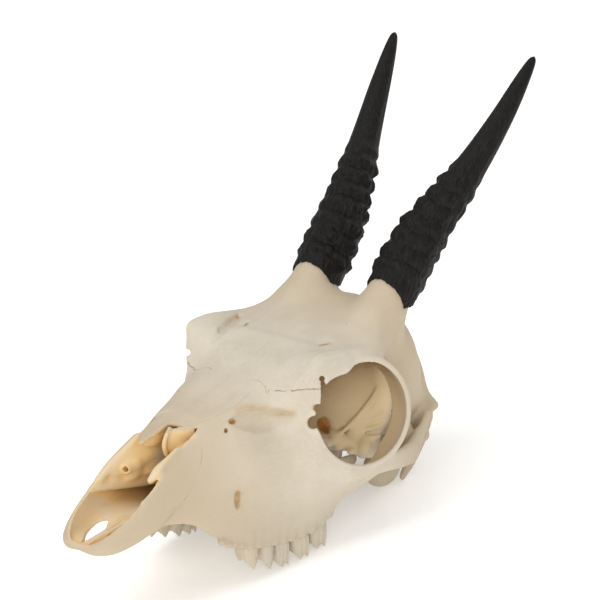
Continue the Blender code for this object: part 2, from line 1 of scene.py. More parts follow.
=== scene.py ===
# %% [markdown]
# # The cleaned skull of a duiker
#
# A duiker is a small antelope. Its cleaned skull is thin cream bone with round eye sockets, an open nose,
# ten upper cheek teeth and two short black horns, which are sheaths that slip over bony cores. The
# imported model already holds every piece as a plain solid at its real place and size. This notebook
# dresses those solids: it makes a detailed skull, horn sheaths and teeth where the solids are, and gives
# each of them a material made of nodes.

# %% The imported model
import math

import bpy
import numpy as np
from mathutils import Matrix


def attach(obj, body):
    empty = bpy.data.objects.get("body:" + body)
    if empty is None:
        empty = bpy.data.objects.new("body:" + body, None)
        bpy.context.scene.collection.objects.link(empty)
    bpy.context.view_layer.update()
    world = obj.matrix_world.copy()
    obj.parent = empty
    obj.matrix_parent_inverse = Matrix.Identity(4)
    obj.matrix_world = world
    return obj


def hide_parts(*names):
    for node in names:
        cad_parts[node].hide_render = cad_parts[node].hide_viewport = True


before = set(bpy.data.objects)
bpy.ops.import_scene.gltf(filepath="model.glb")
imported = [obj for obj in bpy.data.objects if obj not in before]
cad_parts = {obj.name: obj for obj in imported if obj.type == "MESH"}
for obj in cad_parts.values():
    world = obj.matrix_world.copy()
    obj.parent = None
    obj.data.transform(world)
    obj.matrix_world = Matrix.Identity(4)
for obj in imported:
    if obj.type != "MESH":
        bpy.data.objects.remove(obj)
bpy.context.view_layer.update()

import openvdb
from mathutils import Matrix, Vector

MM = 0.001

# %% [markdown]
# ## Where the skull stands
#
# Bones are easiest to describe in the skull's own frame, in millimetres: +X is the animal's left, +Y runs
# from the snout to the back of the head and +Z is up, with the tooth rows level. On a table the skull
# tips back onto the points beside its ear bulbs, so one matrix turns every finished mesh from that frame
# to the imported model's frame, in metres. The points go into the mesh, and each object stays at the origin.

# %% The turn and shift to the table
TIP_BACK = math.radians(10.991)
STAND_SHIFT = Vector((0.00001, -0.11032, 0.02115))
stand = Matrix.Translation(STAND_SHIFT) @ Matrix.Rotation(-TIP_BACK, 4, "X")
stand_from_mm = stand @ Matrix.Scale(MM, 4)
print("skull frame to table frame:", [round(v, 4) for v in stand_from_mm.translation])

# %% [markdown]
# ## Camera, light and floor
#
# The view looks down on the snout from the animal's front left, from 1.2 m away with a long lens, so the
# skull hardly narrows with distance. A matrix of right, up and back directions places the camera exactly,
# which a target constraint can't do once the picture is also turned a little. The light is a pale world
# and three large, soft lamps, the strongest of them near the camera, so few shadows show. The floor comes
# last, because nothing in it depends on the bones.

# %% The camera
VIEW_RIGHT = (0.745097, 0.666196, 0.031831)
VIEW_UP = (-0.182539, 0.157790, 0.970454)
VIEW_BACK = (0.641490, -0.728893, 0.239175)
VIEW_AIM = Vector((5.430, 100.907, 78.677))
VIEW_DISTANCE = 1200.0
PICTURE_WIDTH = 600
PIXELS_PER_MM = 2.92787
SENSOR = 36.0


def linked(name, data):
    """A new object of a mesh, lamp or camera, in the scene."""
    item = bpy.data.objects.new(name, data)
    bpy.context.scene.collection.objects.link(item)
    return item


turn = Matrix((VIEW_RIGHT, VIEW_UP, VIEW_BACK)).transposed().to_4x4()
spot = VIEW_AIM + Vector(VIEW_BACK) * VIEW_DISTANCE
lens = bpy.data.cameras.new("studio camera")
lens.sensor_width = SENSOR
lens.lens = SENSOR * VIEW_DISTANCE * PIXELS_PER_MM / PICTURE_WIDTH
lens.clip_end = 10
camera = linked("studio camera", lens)
camera.matrix_world = stand @ Matrix.Translation(spot * MM) @ turn
bpy.context.scene.camera = camera
print("lens", round(lens.lens, 1), "mm, camera at", [round(v, 3) for v in camera.matrix_world.translation])

# %% The lamps and the world
SKULL_MIDDLE = Vector((0, 0, 0.05))
SOFTBOXES = [("camera softbox", (0.75, -0.85, 0.42), 0.8, 5.2),
             ("top softbox", (-0.20, -0.40, 1.05), 0.8, 5.0),
             ("back softbox", (0.20, 0.90, 0.80), 0.7, 2.6)]
WORLD_WHITE = (1.0, 0.99, 0.975, 1)
WORLD_STRENGTH = 0.50

for name, place, size, watts in SOFTBOXES:
    light = bpy.data.lights.new(name, "AREA")
    light.shape = "SQUARE"
    light.size = size
    light.energy = watts
    lamp = linked(name, light)
    lamp.location = place
    lamp.rotation_euler = (SKULL_MIDDLE - lamp.location).to_track_quat("-Z", "Y").to_euler()
world = bpy.data.worlds.new("white studio")
world.use_nodes = True
sky = world.node_tree.nodes["Background"]
sky.inputs["Color"].default_value = WORLD_WHITE
sky.inputs["Strength"].default_value = WORLD_STRENGTH
bpy.context.scene.world = world
bpy.context.scene.view_settings.view_transform = "Standard"

# %% [markdown]
# ## Node maths as sums
#
# Materials and Geometry Nodes trees are full of small sums. Written node by node they are hard to read,
# so one class wraps an output socket and lets Python's own signs add the nodes. Numbers go through Math
# nodes and vectors through Vector Math nodes. Every other kind of node comes from its method `node`, and
# colours are given as red, green, blue and alpha. A right-hand form of each sign lets `1 - mask` work too.

# %% One class for every tree
class Wire:
    """An output socket that can be added, multiplied and passed on."""

    def __init__(self, tree, socket=None):
        self.tree = tree
        self.socket = socket

    def node(self, kind, settings=None, values=None, output=0):
        """Add a node: its settings first, then the values or wires of its sockets."""
        made = self.tree.nodes.new(kind)
        for name, setting in (settings or {}).items():
            if name == "stops":
                spread_stops(made.color_ramp, setting)
            else:
                setattr(made, name, setting)
        for name, value in (values or {}).items():
            if isinstance(value, Wire):
                self.tree.links.new(value.socket, made.inputs[name])
            else:
                made.inputs[name].default_value = value
        return Wire(self.tree, made.outputs[output] if len(made.outputs) else None)

    def out(self, name):
        """Another output of the same node."""
        return Wire(self.tree, self.socket.node.outputs[name])

    def sum_of(self, operation, first, second):
        """One sum, with a Vector Math node if either side is a vector."""
        pair = (first, second)
        flat = any(isinstance(v, tuple) or (isinstance(v, Wire) and v.socket.type == "VECTOR") for v in pair)
        if not flat:
            return self.node("ShaderNodeMath", {"operation": operation}, {0: first, 1: second})
        spread = [(v, v, v) if isinstance(v, (int, float)) else v for v in pair]
        return self.node("ShaderNodeVectorMath", {"operation": operation}, {0: spread[0], 1: spread[1]})

    def __add__(self, other):
        return self.sum_of("ADD", self, other)

    def __radd__(self, other):
        return self.sum_of("ADD", other, self)

    def __sub__(self, other):
        return self.sum_of("SUBTRACT", self, other)

    def __rsub__(self, other):
        return self.sum_of("SUBTRACT", other, self)

    def __mul__(self, other):
        return self.sum_of("MULTIPLY", self, other)

    def __rmul__(self, other):
        return self.sum_of("MULTIPLY", other, self)

    def __truediv__(self, other):
        return self.sum_of("DIVIDE", self, other)

    def __rtruediv__(self, other):
        return self.sum_of("DIVIDE", other, self)

    def __pow__(self, other):
        return self.sum_of("POWER", self, other)

    def number(self, operation, *others):
        """A Math node of one or two values, this wire first."""
        return self.node("ShaderNodeMath", {"operation": operation}, dict(enumerate((self, *others))))

    def vector(self, operation, *others, output=0):
        """A Vector Math node of one or two vectors, this wire first."""
        values = dict(enumerate((self, *others)))
        return self.node("ShaderNodeVectorMath", {"operation": operation}, values, output)

    def dot(self, direction):
        """How far this vector points along a direction."""
        return self.vector("DOT_PRODUCT", direction, output=1)

    def joined(self, x=0.0, y=0.0, z=0.0):
        """A vector of three numbers or wires."""
        return self.node("ShaderNodeCombineXYZ", None, {"X": x, "Y": y, "Z": z})

    def crest(self):
        """1 where this angle is a whole turn, 0 half way between, and a soft wave from one to the other."""
        return 0.5 + 0.5 * self.number("COSINE")

    def ease(self, low, high):
        """0 below low, 1 above high, and a smooth step between."""
        values = {"Value": self, "From Min": low, "From Max": high}
        return self.node("ShaderNodeMapRange", {"interpolation_type": "SMOOTHSTEP"}, values)

    def mix(self, first, second, share):
        """A colour, mixed towards a second one."""
        return self.node("ShaderNodeMix", {"data_type": "RGBA"}, {0: share, 6: first, 7: second}, 2)

    def noise(self, scale, detail=3.0, roughness=0.5):
        """Smooth noise at this place, about 0.5 on the whole."""
        values = {"Vector": self, "Scale": scale, "Detail": detail, "Roughness": roughness}
        return self.node("ShaderNodeTexNoise", None, values)


def spread_stops(ramp, stops):
    """Set a colour ramp's stops, given in order."""
    ramp.elements[0].position = stops[0][0]
    ramp.elements[1].position = stops[-1][0]
    for place, _ in stops[1:-1]:
        ramp.elements.new(place)
    for element, (_, colour) in zip(ramp.elements, stops):
        element.color = colour


print("wire maths ready")

# %% [markdown]
# ## Bone as distances
#
# A skull is one thin, hollow, branching form. Modelled by hand it takes days of sculpting, and joined with
# booleans its forms meet in hard creases. Here each form is a field: for every cell of a fine grid it says
# how far the form's surface is, negative inside. Two fields are joined by taking the smaller value, with a
# rounding where both are near, and one is cut from another the same way. OpenVDB, which comes with
# Blender, makes the fields of the main forms and later turns the whole field back into a mesh.

# %% Smooth rows and closed skins
def smooth_rows(rows, steps):
    """Rows of numbers along smooth curves through the given ones."""
    given = np.asarray(rows, dtype=float)
    padded = np.concatenate([[2 * given[0] - given[1]], given, [2 * given[-1] - given[-2]]])
    share = (np.arange(steps) / steps).reshape((-1,) + (1,) * (given.ndim - 1))
    spans = []
    for index in range(len(given) - 1):
        before, start, end, after = padded[index:index + 4]
        spans.append(0.5 * (2 * start + (end - before) * share
                            + (2 * before - 5 * start + 4 * end - after) * share ** 2
                            + (3 * start - before - 3 * end + after) * share ** 3))
    return np.concatenate(spans + [given[-1:]])


def closed_skin(outlines):
    """Points and triangles of the mirrored skin through half outlines (y, [(x, z), ...])."""
    rows = smooth_rows([[(x, y, z) for x, z in outline] for y, outline in outlines], 4)
    rows = np.swapaxes(smooth_rows(np.swapaxes(rows, 0, 1), 3), 0, 1)
    rows[:, [0, -1], 0] = 0
    rings = np.concatenate([rows, rows[:, -2:0:-1] * (-1, 1, 1)], axis=1)
    count, around = rings.shape[:2]
    points = np.concatenate([rings.reshape(-1, 3), [rings[0].mean(axis=0), rings[-1].mean(axis=0)]])
    ring, side = np.meshgrid(np.arange(count - 1), np.arange(around), indexing="ij")
    here = ring * around + side
    after = ring * around + (side + 1) % around
    side = np.arange(around)
    next_side = (side + 1) % around
    end = (count - 1) * around
    front_middle = np.full(around, count * around)
    corners = [(here, after, after + around), (here, after + around, here + around),
               (next_side, side, front_middle), (end + side, end + next_side, front_middle + 1)]
    return points, np.concatenate([np.stack(three, axis=-1).reshape(-1, 3) for three in corners])


print("one row of a curve:", smooth_rows([(0.0, 0.0), (1.0, 1.0), (2.0, 0.0)], 2).round(2).tolist())

# %% The grid and its forms
GRAIN = 0.45
BAND = 4.0
FAR_FROM_ALL = 1e9
GRID_LOW = np.full(3, -9 * GRAIN)
GRID_HIGH = np.array([43.2, 172.0, 98.0])


class Bone:
    """A form on a grid, as each cell's distance to the surface in millimetres."""

    def __init__(self, low, cells):
        self.low = np.array(low)
        self.cells = cells
        self.axes = [self.low[i] + GRAIN * np.arange(cells.shape[i]) for i in range(3)]

    def window(self, low, high, margin=5.0):
        """The part of the grid round a box, with its x, y and z."""
        first = np.floor((np.asarray(low) - margin - self.low) / GRAIN)
        last = np.ceil((np.asarray(high) + margin - self.low) / GRAIN)
        first, last = (np.clip(corner, 0, self.cells.shape).astype(int) for corner in (first, last))
        part = tuple(slice(a, b) for a, b in zip(first, last))
        x, y, z = (axis[cut].astype(np.float32) for axis, cut in zip(self.axes, part))
        return part, x[:, None, None], y[None, :, None], z[None, None, :]

    def add(self, form, rounding=1.5):
        """Join a form to the bone."""
        part, cells = form
        self.cells[part] = rounded_minimum(self.cells[part], cells, rounding)

    def cut(self, form, rounding=1.0):
        """Take a form out of the bone."""
        part, cells = form
        self.cells[part] = -rounded_minimum(-self.cells[part], cells, rounding)

    def loft(self, outlines):
        """A mirrored form drawn through outlines from front to back."""
        points, faces = closed_skin(outlines)
        field = openvdb.FloatGrid.createLevelSetFromPolygons(
            (points - self.low).astype(np.float32), triangles=faces.astype(np.uint32),
            transform=openvdb.createLinearTransform(voxelSize=GRAIN), halfWidth=BAND / GRAIN + 6)
        cells = np.full(self.cells.shape, BAND, dtype=np.float32)
        field.copyToArray(cells, ijk=(0, 0, 0))
        return (slice(None),) * 3, cells

    def rod(self, rows, thin_along=(0, 0, 1), thinness=1.0):
        """A bent rod through rows of x, y, z and radius, pressed thin along one direction."""
        line = smooth_rows(rows, 4)
        widest = max(radius for *_, radius in rows)
        part, x, y, z = self.window(line[:, :3].min(axis=0) - widest, line[:, :3].max(axis=0) + widest)
        nx, ny, nz = Vector(thin_along).normalized()
        nearest = np.float32(FAR_FROM_ALL)
        for start, end in zip(line[:-1], line[1:]):
            step = end - start
            dx, dy, dz = x - start[0], y - start[1], z - start[2]
            share = (dx * step[0] + dy * step[1] + dz * step[2]) / max(float(step[:3] @ step[:3]), 1e-9)
            share = np.clip(share, 0, 1)
            dx, dy, dz = dx - share * step[0], dy - share * step[1], dz - share * step[2]
            push = (dx * nx + dy * ny + dz * nz) * (thinness - 1)
            dx, dy, dz = dx + push * nx, dy + push * ny, dz + push * nz
            away = np.sqrt(dx * dx + dy * dy + dz * dz) - (start[3] + share * step[3])
            nearest = np.minimum(nearest, away)
        return part, nearest.astype(np.float32)

    def ball(self, centre, radii, turn_degrees=(0, 0, 0)):
        """An egg-shaped ball, turned by degrees about X, Y and Z."""
        about_x, about_y, about_z = (Matrix.Rotation(math.radians(degrees), 3, axis)
                                     for degrees, axis in zip(turn_degrees, "XYZ"))
        from_world = (about_z @ about_y @ about_x).transposed()
        reach = max(radii)
        part, x, y, z = self.window(np.array(centre) - reach, np.array(centre) + reach)
        dx, dy, dz = x - centre[0], y - centre[1], z - centre[2]
        u, v, w = ((row[0] * dx + row[1] * dy + row[2] * dz) / radius
                   for row, radius in zip(from_world, radii))
        size = np.sqrt(u * u + v * v + w * w)
        slope = np.sqrt((u / radii[0]) ** 2 + (v / radii[1]) ** 2 + (w / radii[2]) ** 2)
        return part, (size * (size - 1) / np.maximum(slope, 1e-6)).astype(np.float32)

    def mirrored(self):
        """The whole form, from a half whose grid starts a few cells before the middle."""
        before = int(round(-self.low[0] / GRAIN))
        half = self.cells[before:]
        low = self.low.copy()
        low[0] = -GRAIN * (half.shape[0] - 1)
        return Bone(low, np.concatenate([half[:0:-1], half], axis=0))

    def near(self, points):
        """The distance field at points, between its cells."""
        place = (points - self.low) / GRAIN
        base = np.clip(np.floor(place).astype(int), 0, np.array(self.cells.shape) - 2)
        share = place - base
        found = np.zeros(len(points))
        for corner in np.ndindex(2, 2, 2):
            weight = np.prod(np.where(corner, share, 1 - share), axis=1)
            found += weight * self.cells[tuple((base + corner).T)]
        return found


def rounded_minimum(first, second, rounding):
    """The smaller of two fields, with a rounding where they are close."""
    near = np.maximum(rounding - np.abs(first - second), 0) / rounding
    return np.minimum(first, second) - near * near * rounding * 0.25


cells_each_way = np.round((GRID_HIGH - GRID_LOW) / GRAIN).astype(int)
bone = Bone(GRID_LOW, np.full(cells_each_way, BAND, dtype=np.float32))
print("half grid:", bone.cells.shape, "cells of", GRAIN, "mm")

# %% [markdown]
# ## The face, the brow and the braincase
#
# Three lofts give the large forms. Each is a list of half outlines from the top midline to the bottom
# midline, every centimetre or so along the skull, read off a drawing with its real sizes. The brow is its
# own loft because it spreads over the eye sockets like a roof, wider than the braincase behind it.

# %% Outlines of the face
FACE = [
    (1.5, [(0, 11.6), (2, 11.8), (4, 11.9), (5.6, 11.8), (6.5, 11.5), (6.9, 11),
           (6.6, 10.2), (5.5, 9.6), (4, 9.4), (2, 9.5), (0, 9.7)]),
    (4, [(0, 13.1), (3, 13.3), (6, 13.5), (8.2, 13.6), (9.4, 12.9), (9.7, 12),
         (9.1, 10.6), (7.6, 8.8), (5, 8.5), (2.5, 8.8), (0, 9)]),
    (9, [(0, 16.9), (4, 17.1), (8, 17.4), (10.7, 17.4), (12, 16), (12.3, 14.2),
         (11.9, 12), (10.6, 9.3), (7.5, 9.2), (4, 9.6), (0, 10)]),
    (16.5, [(0, 22.4), (5, 22.6), (9.5, 22.9), (12.3, 22.7), (13.6, 21), (14.2, 18.3),
            (14.1, 15.3), (13.3, 12.2), (10, 11.3), (5, 11.2), (0, 11.2)]),
    (24, [(0, 28.5), (5, 28.8), (10, 29), (12.4, 28.6), (13.7, 26.5), (14.6, 23),
          (14.9, 19), (14.3, 15.2), (11, 14.3), (5.5, 14), (0, 14)]),
    (31, [(0, 33), (5, 33.4), (8.6, 33.7), (11.4, 33.2), (13.2, 31), (14.6, 26.5),
          (15.3, 21), (14.8, 15.9), (11.3, 15), (5.5, 15), (0, 15)]),
    (40, [(0, 40), (4, 40.2), (7.4, 40.4), (10.2, 39.6), (12.3, 36.5), (15, 30),
          (16.8, 22), (16.6, 14.2), (12.5, 13.6), (6, 14.5), (0, 15)]),
    (48, [(0, 46.3), (4, 46.3), (8, 46.2), (10.6, 44.9), (12.8, 41), (16, 33),
          (19, 22), (20, 8.8), (14.5, 9.5), (7, 13), (0, 14)]),
    (56, [(0, 49.2), (5, 49), (9.5, 48.7), (13, 47.2), (15.2, 43), (18.3, 34),
          (21.2, 22), (23.4, 4.4), (15.6, 5.4), (8, 11.5), (0, 12.5)]),
    (64, [(0, 52.3), (6, 52.2), (11.5, 51.8), (16, 49.6), (17, 45), (20.5, 35),
          (23.8, 22), (25.2, 3.8), (15.4, 4.4), (8, 10.5), (0, 11.5)]),
    (72, [(0, 55.8), (7, 55.7), (14, 54.5), (20.3, 50.2), (20, 45), (22.5, 36),
          (26, 23), (26.5, 3.6), (15.4, 4.2), (8, 10), (0, 11)]),
    (78, [(0, 58.3), (8, 58.3), (17, 57.5), (25, 52), (24.3, 45), (24.8, 36),
          (28, 24), (27.6, 4), (15.4, 4.2), (8, 10), (0, 11)]),
    (84, [(0, 61), (9, 61.2), (20, 63), (29.4, 64), (29.8, 52), (29.3, 40),
          (31, 26), (28.5, 5), (15.4, 4.5), (8, 10), (0, 11)]),
    (90, [(0, 63.2), (10, 63.3), (21, 65.5), (31, 65), (31, 50), (31, 40),
          (33.5, 27), (28.5, 6.5), (15.4, 5.2), (8, 10), (0, 11)]),
    (96, [(0, 65), (10, 65), (22, 66), (31.6, 64.5), (32, 50), (32.5, 40),
          (35, 27), (28, 9.5), (15.6, 6.5), (8, 10.5), (0, 11)]),
    (99, [(0, 62), (10, 62), (20, 62), (28, 60), (29, 50), (30, 40),
          (33, 27), (26, 13), (17, 9), (8.5, 12.5), (0, 13)]),
]
bone.add(bone.loft(FACE), 0.1)
print("face from y =", FACE[0][0], "to", FACE[-1][0])

# %% Outlines of the brow and the braincase
BROW = [
    (74, [(0, 52), (8, 52), (14, 51.5), (18, 51), (20, 50), (20, 49), (17, 48.5), (10, 48), (0, 48)]),
    (80, [(0, 57.4), (8, 57.4), (17, 57.8), (23, 59), (26, 59.5), (26.8, 57), (24, 54.5), (12, 53), (0, 53)]),
    (84.5, [(0, 60.4), (9, 60.5), (19, 62), (25, 64.4), (29.2, 65.4), (30.4, 62),
            (28, 57), (12, 55), (0, 55)]),
    (92, [(0, 63.8), (10, 63.8), (19, 64.4), (26, 66.8), (30.8, 66), (32, 62.5),
          (30.5, 58.5), (12, 57), (0, 57)]),
    (100, [(0, 66.4), (10, 66.4), (19, 66.4), (26, 67.3), (31, 65.8), (32.4, 62.6),
           (31, 60), (12, 58), (0, 58)]),
    (108, [(0, 69), (10, 69), (19, 69), (25, 68.6), (30.6, 66), (32.4, 62.8),
           (31, 60.3), (12, 58), (0, 58)]),
    (115, [(0, 71.2), (10, 71.2), (18, 72), (23.5, 71.6), (28.6, 68), (31.4, 63.5),
           (29.5, 59), (12, 58), (0, 58)]),
    (122, [(0, 73.3), (9, 73.6), (16.5, 75.6), (22, 74.8), (25, 70.5), (27, 64),
           (24, 58), (12, 57), (0, 57)]),
    (129, [(0, 74.8), (8, 75), (15, 76.5), (20.8, 75.5), (23.6, 71), (24.3, 64),
           (22, 58), (12, 57), (0, 57)]),
    (136, [(0, 74), (7, 73.5), (13, 72.5), (18, 70), (21, 67), (21.5, 62), (20, 57), (10, 56), (0, 56)]),
]
BRAINCASE = [
    (94, [(0, 60), (5, 60), (8, 55), (9, 45), (9, 35), (8, 26), (5, 20), (0, 19)]),
    (106, [(0, 64), (7, 63), (11, 56), (12, 46), (11.5, 36), (10, 28), (6.5, 23), (0, 22)]),
    (113, [(0, 68), (9, 67), (15, 60), (17, 50), (16, 40), (13, 32), (8, 26), (0, 24.5)]),
    (120, [(0, 71), (11, 70), (19, 63), (22, 53), (21.5, 43), (17.5, 34), (10, 27), (0, 25)]),
    (128, [(0, 73), (12, 72), (21, 65), (25, 55), (24.8, 44), (21, 34), (12, 26.5), (0, 22.5)]),
    (136, [(0, 73.2), (12, 71.8), (21.2, 64.8), (25.8, 55.2), (26, 45), (23, 34), (13, 25), (0, 20.5)]),
    (143, [(0, 70.9), (11, 69.2), (19.5, 62.5), (23.8, 53.8), (24.2, 44.5), (22.6, 34.5),
           (13, 24.2), (0, 19.3)]),
    (149, [(0, 67.7), (9.6, 65.6), (16, 59.6), (19.5, 51.8), (20.5, 43.5), (20.6, 35),
           (13, 23.5), (0, 18.3)]),
    (155, [(0, 63), (7.3, 60.6), (12, 55.2), (14.7, 48.5), (16.1, 42.5), (18.2, 35.5),
           (13, 23), (0, 17.5)]),
    (160, [(0, 56.5), (5, 54.5), (8.4, 50), (10.8, 45.5), (12.6, 41), (14.4, 34), (11.5, 23.5), (0, 18)]),
    (164, [(0, 45.5), (3, 44.5), (5, 42), (6.5, 39), (7.5, 35.5), (8, 31), (6.5, 25.5), (0, 22)]),
]
bone.add(bone.loft(BROW), 3.0)
bone.add(bone.loft(BRAINCASE), 3.0)
print("brow and braincase to y =", BRAINCASE[-1][0])


# %% [markdown]
# ## The nose, the horn roots and the cheek arches
#
# The nose is hollow from the snout to below the brow, so a fourth loft is cut out of the face and leaves
# walls of one to two millimetres. Rods stand for what is long and bent: the pedicles that carry the
# horns, the arches under the eye sockets and the crests at the back. Each row of a rod is a point and the
# radius there, in millimetres, and the last number of each call is how softly the form blends into the
# bone. A rod pressed thin becomes a plate.

# %% The nose hollow
NOSE_HOLLOW = [
    (2.4, [(0, 20), (3.0, 20), (3.9, 14.2), (4.1, 12.6), (3.6, 11.5), (1.8, 11), (0, 11)]),
    (4.6, [(0, 23), (5.0, 23), (6.5, 15.8), (6.8, 13.4), (6.0, 11.6), (2.4, 11), (0, 11)]),
    (7.4, [(0, 26), (6.4, 26), (8.4, 18), (8.9, 15), (8.0, 12.1), (3, 11.4), (0, 11.4)]),
    (12, [(0, 30), (7.4, 30), (10.1, 21.5), (10.8, 17.5), (9.7, 12.6), (4.5, 11.7), (0, 11.7)]),
    (17, [(0, 34), (8.5, 34), (10.8, 24.5), (11.9, 19.5), (11.2, 13.8), (5.5, 12.5), (0, 12.5)]),
    (24, [(0, 40), (9.4, 40), (11.2, 30), (12.7, 24), (12.1, 17.6), (6, 15.7), (0, 15.7)]),
    (31, [(0, 45), (8.2, 45), (10, 34.5), (12.6, 28), (12.9, 20.5), (7, 17.3), (0, 17.3)]),
    (40, [(0, 50), (7.3, 50), (8.8, 41), (12.4, 32), (14.3, 22), (8, 17.5), (0, 17.5)]),
    (46, [(0, 52), (7, 52), (8.8, 46), (12.9, 36), (16.2, 24), (9.5, 17), (0, 17)]),
    (50, [(0, 45), (4.5, 45), (9, 43.6), (13.3, 36), (17.3, 24), (10.5, 16.5), (0, 16)]),
    (58, [(0, 47.5), (6, 47.5), (12, 44.6), (15.7, 37), (19.3, 25), (12, 15.5), (0, 14.8)]),
    (68, [(0, 51.5), (8, 51.3), (12.5, 47), (14.5, 38), (20, 25), (13, 14.5), (0, 14)]),
    (80, [(0, 55), (8, 54.5), (12.5, 49), (13.5, 38), (17, 26), (12, 15), (0, 14)]),
    (92, [(0, 56), (6, 55), (7.5, 48), (7, 38), (6, 26), (6, 16), (0, 14)]),
]
nose_hollow = bone.loft(NOSE_HOLLOW)
bone.cut(nose_hollow, 0.6)
print("nose hollow from y =", NOSE_HOLLOW[0][0], "to", NOSE_HOLLOW[-1][0])

# %% Scrolls in the nose
UPPER_SCROLL = [(8.6, 32.6, 28.8, 2.6), (7.8, 38, 31.0, 4.4), (6.9, 46, 33.6, 6.0), (6.8, 56, 36.0, 6.4),
                (7.0, 64, 37.5, 6.2)]
LOWER_SCROLL = [(11.8, 20, 24.0, 1.0), (11.2, 27, 25.0, 2.6), (10.2, 34, 25.2, 3.3), (9.2, 42, 25.0, 3.6),
                (8.4, 52, 25.0, 3.8)]
SCROLL_LUMPS = [((5.6, 35.0, 31.4), (1.2, 2.6, 1.6)), ((4.9, 41.0, 33.6), (1.3, 3.6, 1.5)),
                ((6.6, 34.0, 27.4), (1.5, 3.4, 1.5)), ((5.0, 42.0, 28.6), (1.3, 4.0, 1.5))]
LUMP_TURN = (14, 0, 0)

bone.add(bone.rod(UPPER_SCROLL, (1, 0, 0), 1.7), 0.8)
bone.add(bone.rod(LOWER_SCROLL), 1.2)
for centre, radii in SCROLL_LUMPS:
    bone.add(bone.ball(centre, radii, LUMP_TURN), 2.2)
print("two scrolls and", len(SCROLL_LUMPS), "lumps on each side of the nose")

# %% Horn roots, cheek arches and the hollow before the eye
PEDICLE = [(15.5, 122, 60, 9.5), (16.4, 129.5, 70, 8.8), (17, 134, 77, 7.8), (17.3, 139.5, 85, 6.4)]
ARCH_ROOT = [(29, 94, 20, 6), (32, 101, 21.5, 5), (34.6, 108, 24, 3.6)]
CHEEK_ARCH = [(31.5, 92, 26, 3.4), (35.2, 99, 24.6, 3.0), (37.2, 107, 25.2, 2.8), (37.6, 115, 25.6, 3.2),
              (36.2, 122, 25.4, 3.9), (33.6, 129, 25.4, 4.3), (30.6, 136, 27.6, 3.6), (28.2, 142, 30.6, 2.5),
              (25.4, 147, 32.6, 2.5)]
JAW_JOINT = [(20, 137, 31, 5), (26, 135.5, 27, 3.8), (32, 131, 23.5, 2.6)]
TEAR_GLAND_HOLLOW = [(17.4, 59.9, 46.2, 3.2), (19.5, 64.3, 45.8, 4.6), (21.2, 68.4, 45.2, 5.0),
                     (22.9, 72.7, 44.4, 4.5), (25.0, 77.0, 44.4, 3.0)]
BROW_DIP = [(22, 96, 73, 6.5), (24, 104, 74.6, 7.2), (24.5, 112, 77, 6.5)]
TEMPLE_GROOVE = [(26.6, 130.6, 69.9, 0.9), (27.0, 128.4, 66.8, 1.0), (27.1, 127.2, 63.4, 1.0),
                 (26.6, 127.2, 58.5, 0.8)]

bone.add(bone.rod(PEDICLE), 5)
bone.add(bone.rod(ARCH_ROOT, (1, -0.2, -0.2), 1.8), 3)
bone.add(bone.rod(CHEEK_ARCH, (1, 0.15, -0.1), 2.2), 2.5)
bone.add(bone.rod(JAW_JOINT), 3)
bone.cut(bone.ball((32, 69, 42.5), (12, 14, 8), (0, -12, 14)), 4)
bone.cut(bone.rod(TEAR_GLAND_HOLLOW), 0.6)
bone.cut(bone.rod(BROW_DIP), 5)
bone.cut(bone.rod(TEMPLE_GROOVE), 1.5)
print("bone cells so far:", int((bone.cells < 0).sum()))

# %% [markdown]
# ## The eye sockets
#
# Each socket is a cup with a thin raised rim, open to the side and a little to the front. A sphere cuts
# the cup, and a shell just outside the sphere puts back the bar of bone behind the eye, which stands free
# of the braincase. Every cell knows its distance, its angle round the rim and its height over the rim's
# plane, so the rounded lip is a ring with a few numbers. The lip fades out at the front, and two balls
# widen the cup there, where the tear bone is drawn back.

# %% The socket's own directions
SOCKET_RIM = Vector((33.0, 102.6, 44.0))
SOCKET_RIM_RADIUS = 18.4
SOCKET_DEPTH = 6.0
BAR_WALL = 1.8
BAR_STARTS_BACK = 108
LIP_RADIUS = 19.2
LIP_THICKNESS = 1.24
LIP_FADES_AT = 140
socket_out = Vector((0.95, -0.285, 0.124)).normalized()
socket_up = (Vector((0, 0, 1)) - socket_out * socket_out.z).normalized()
socket_back = socket_up.cross(socket_out)
socket_centre = np.array(SOCKET_RIM - SOCKET_DEPTH * socket_out)
socket_radius = math.hypot(SOCKET_RIM_RADIUS, SOCKET_DEPTH)
print("socket centre", socket_centre.round(1), "radius", round(socket_radius, 1), "mm")

# %% Cups, rims and the bar behind the eye
part, x, y, z = bone.window(socket_centre - socket_radius, socket_centre + socket_radius)
proud, risen, behind = ((x - SOCKET_RIM.x) * way.x + (y - SOCKET_RIM.y) * way.y + (z - SOCKET_RIM.z) * way.z
                        for way in (socket_out, socket_up, socket_back))
round_rim = np.degrees(np.arctan2(risen, behind))
across_rim = np.hypot(risen, behind)
away = np.hypot(across_rim, proud + SOCKET_DEPTH)
bone.cut((part, away - socket_radius), 0.8)
bar_depth = 5 + 5 * np.clip((y - BAR_STARTS_BACK) / 10, 0, 1)
shell = np.abs(away - socket_radius - 0.8) - BAR_WALL / 2
bone.add((part, np.maximum(shell, np.maximum(proud - 1.2, -proud - bar_depth))), 1.2)
low_share = np.clip(-risen / 18, 0, 1)
lip_height = 0.1 + 1.5 * low_share
lip = np.hypot(across_rim - LIP_RADIUS + low_share, proud - lip_height)
fading = 3 * np.clip((np.abs(round_rim) - LIP_FADES_AT) / 15, 0, 1)
bone.add((part, lip - LIP_THICKNESS / 2 + fading), 0.7)
bone.cut(bone.ball((29.5, 94.0, 52.0), (8.5, 8.6, 7.6)), 0.8)
bone.cut(bone.ball((26.0, 93.5, 45.0), (10.0, 9.7, 10.5)), 0.8)
print("rim, lip and bar made round", 2 * SOCKET_RIM_RADIUS, "mm")

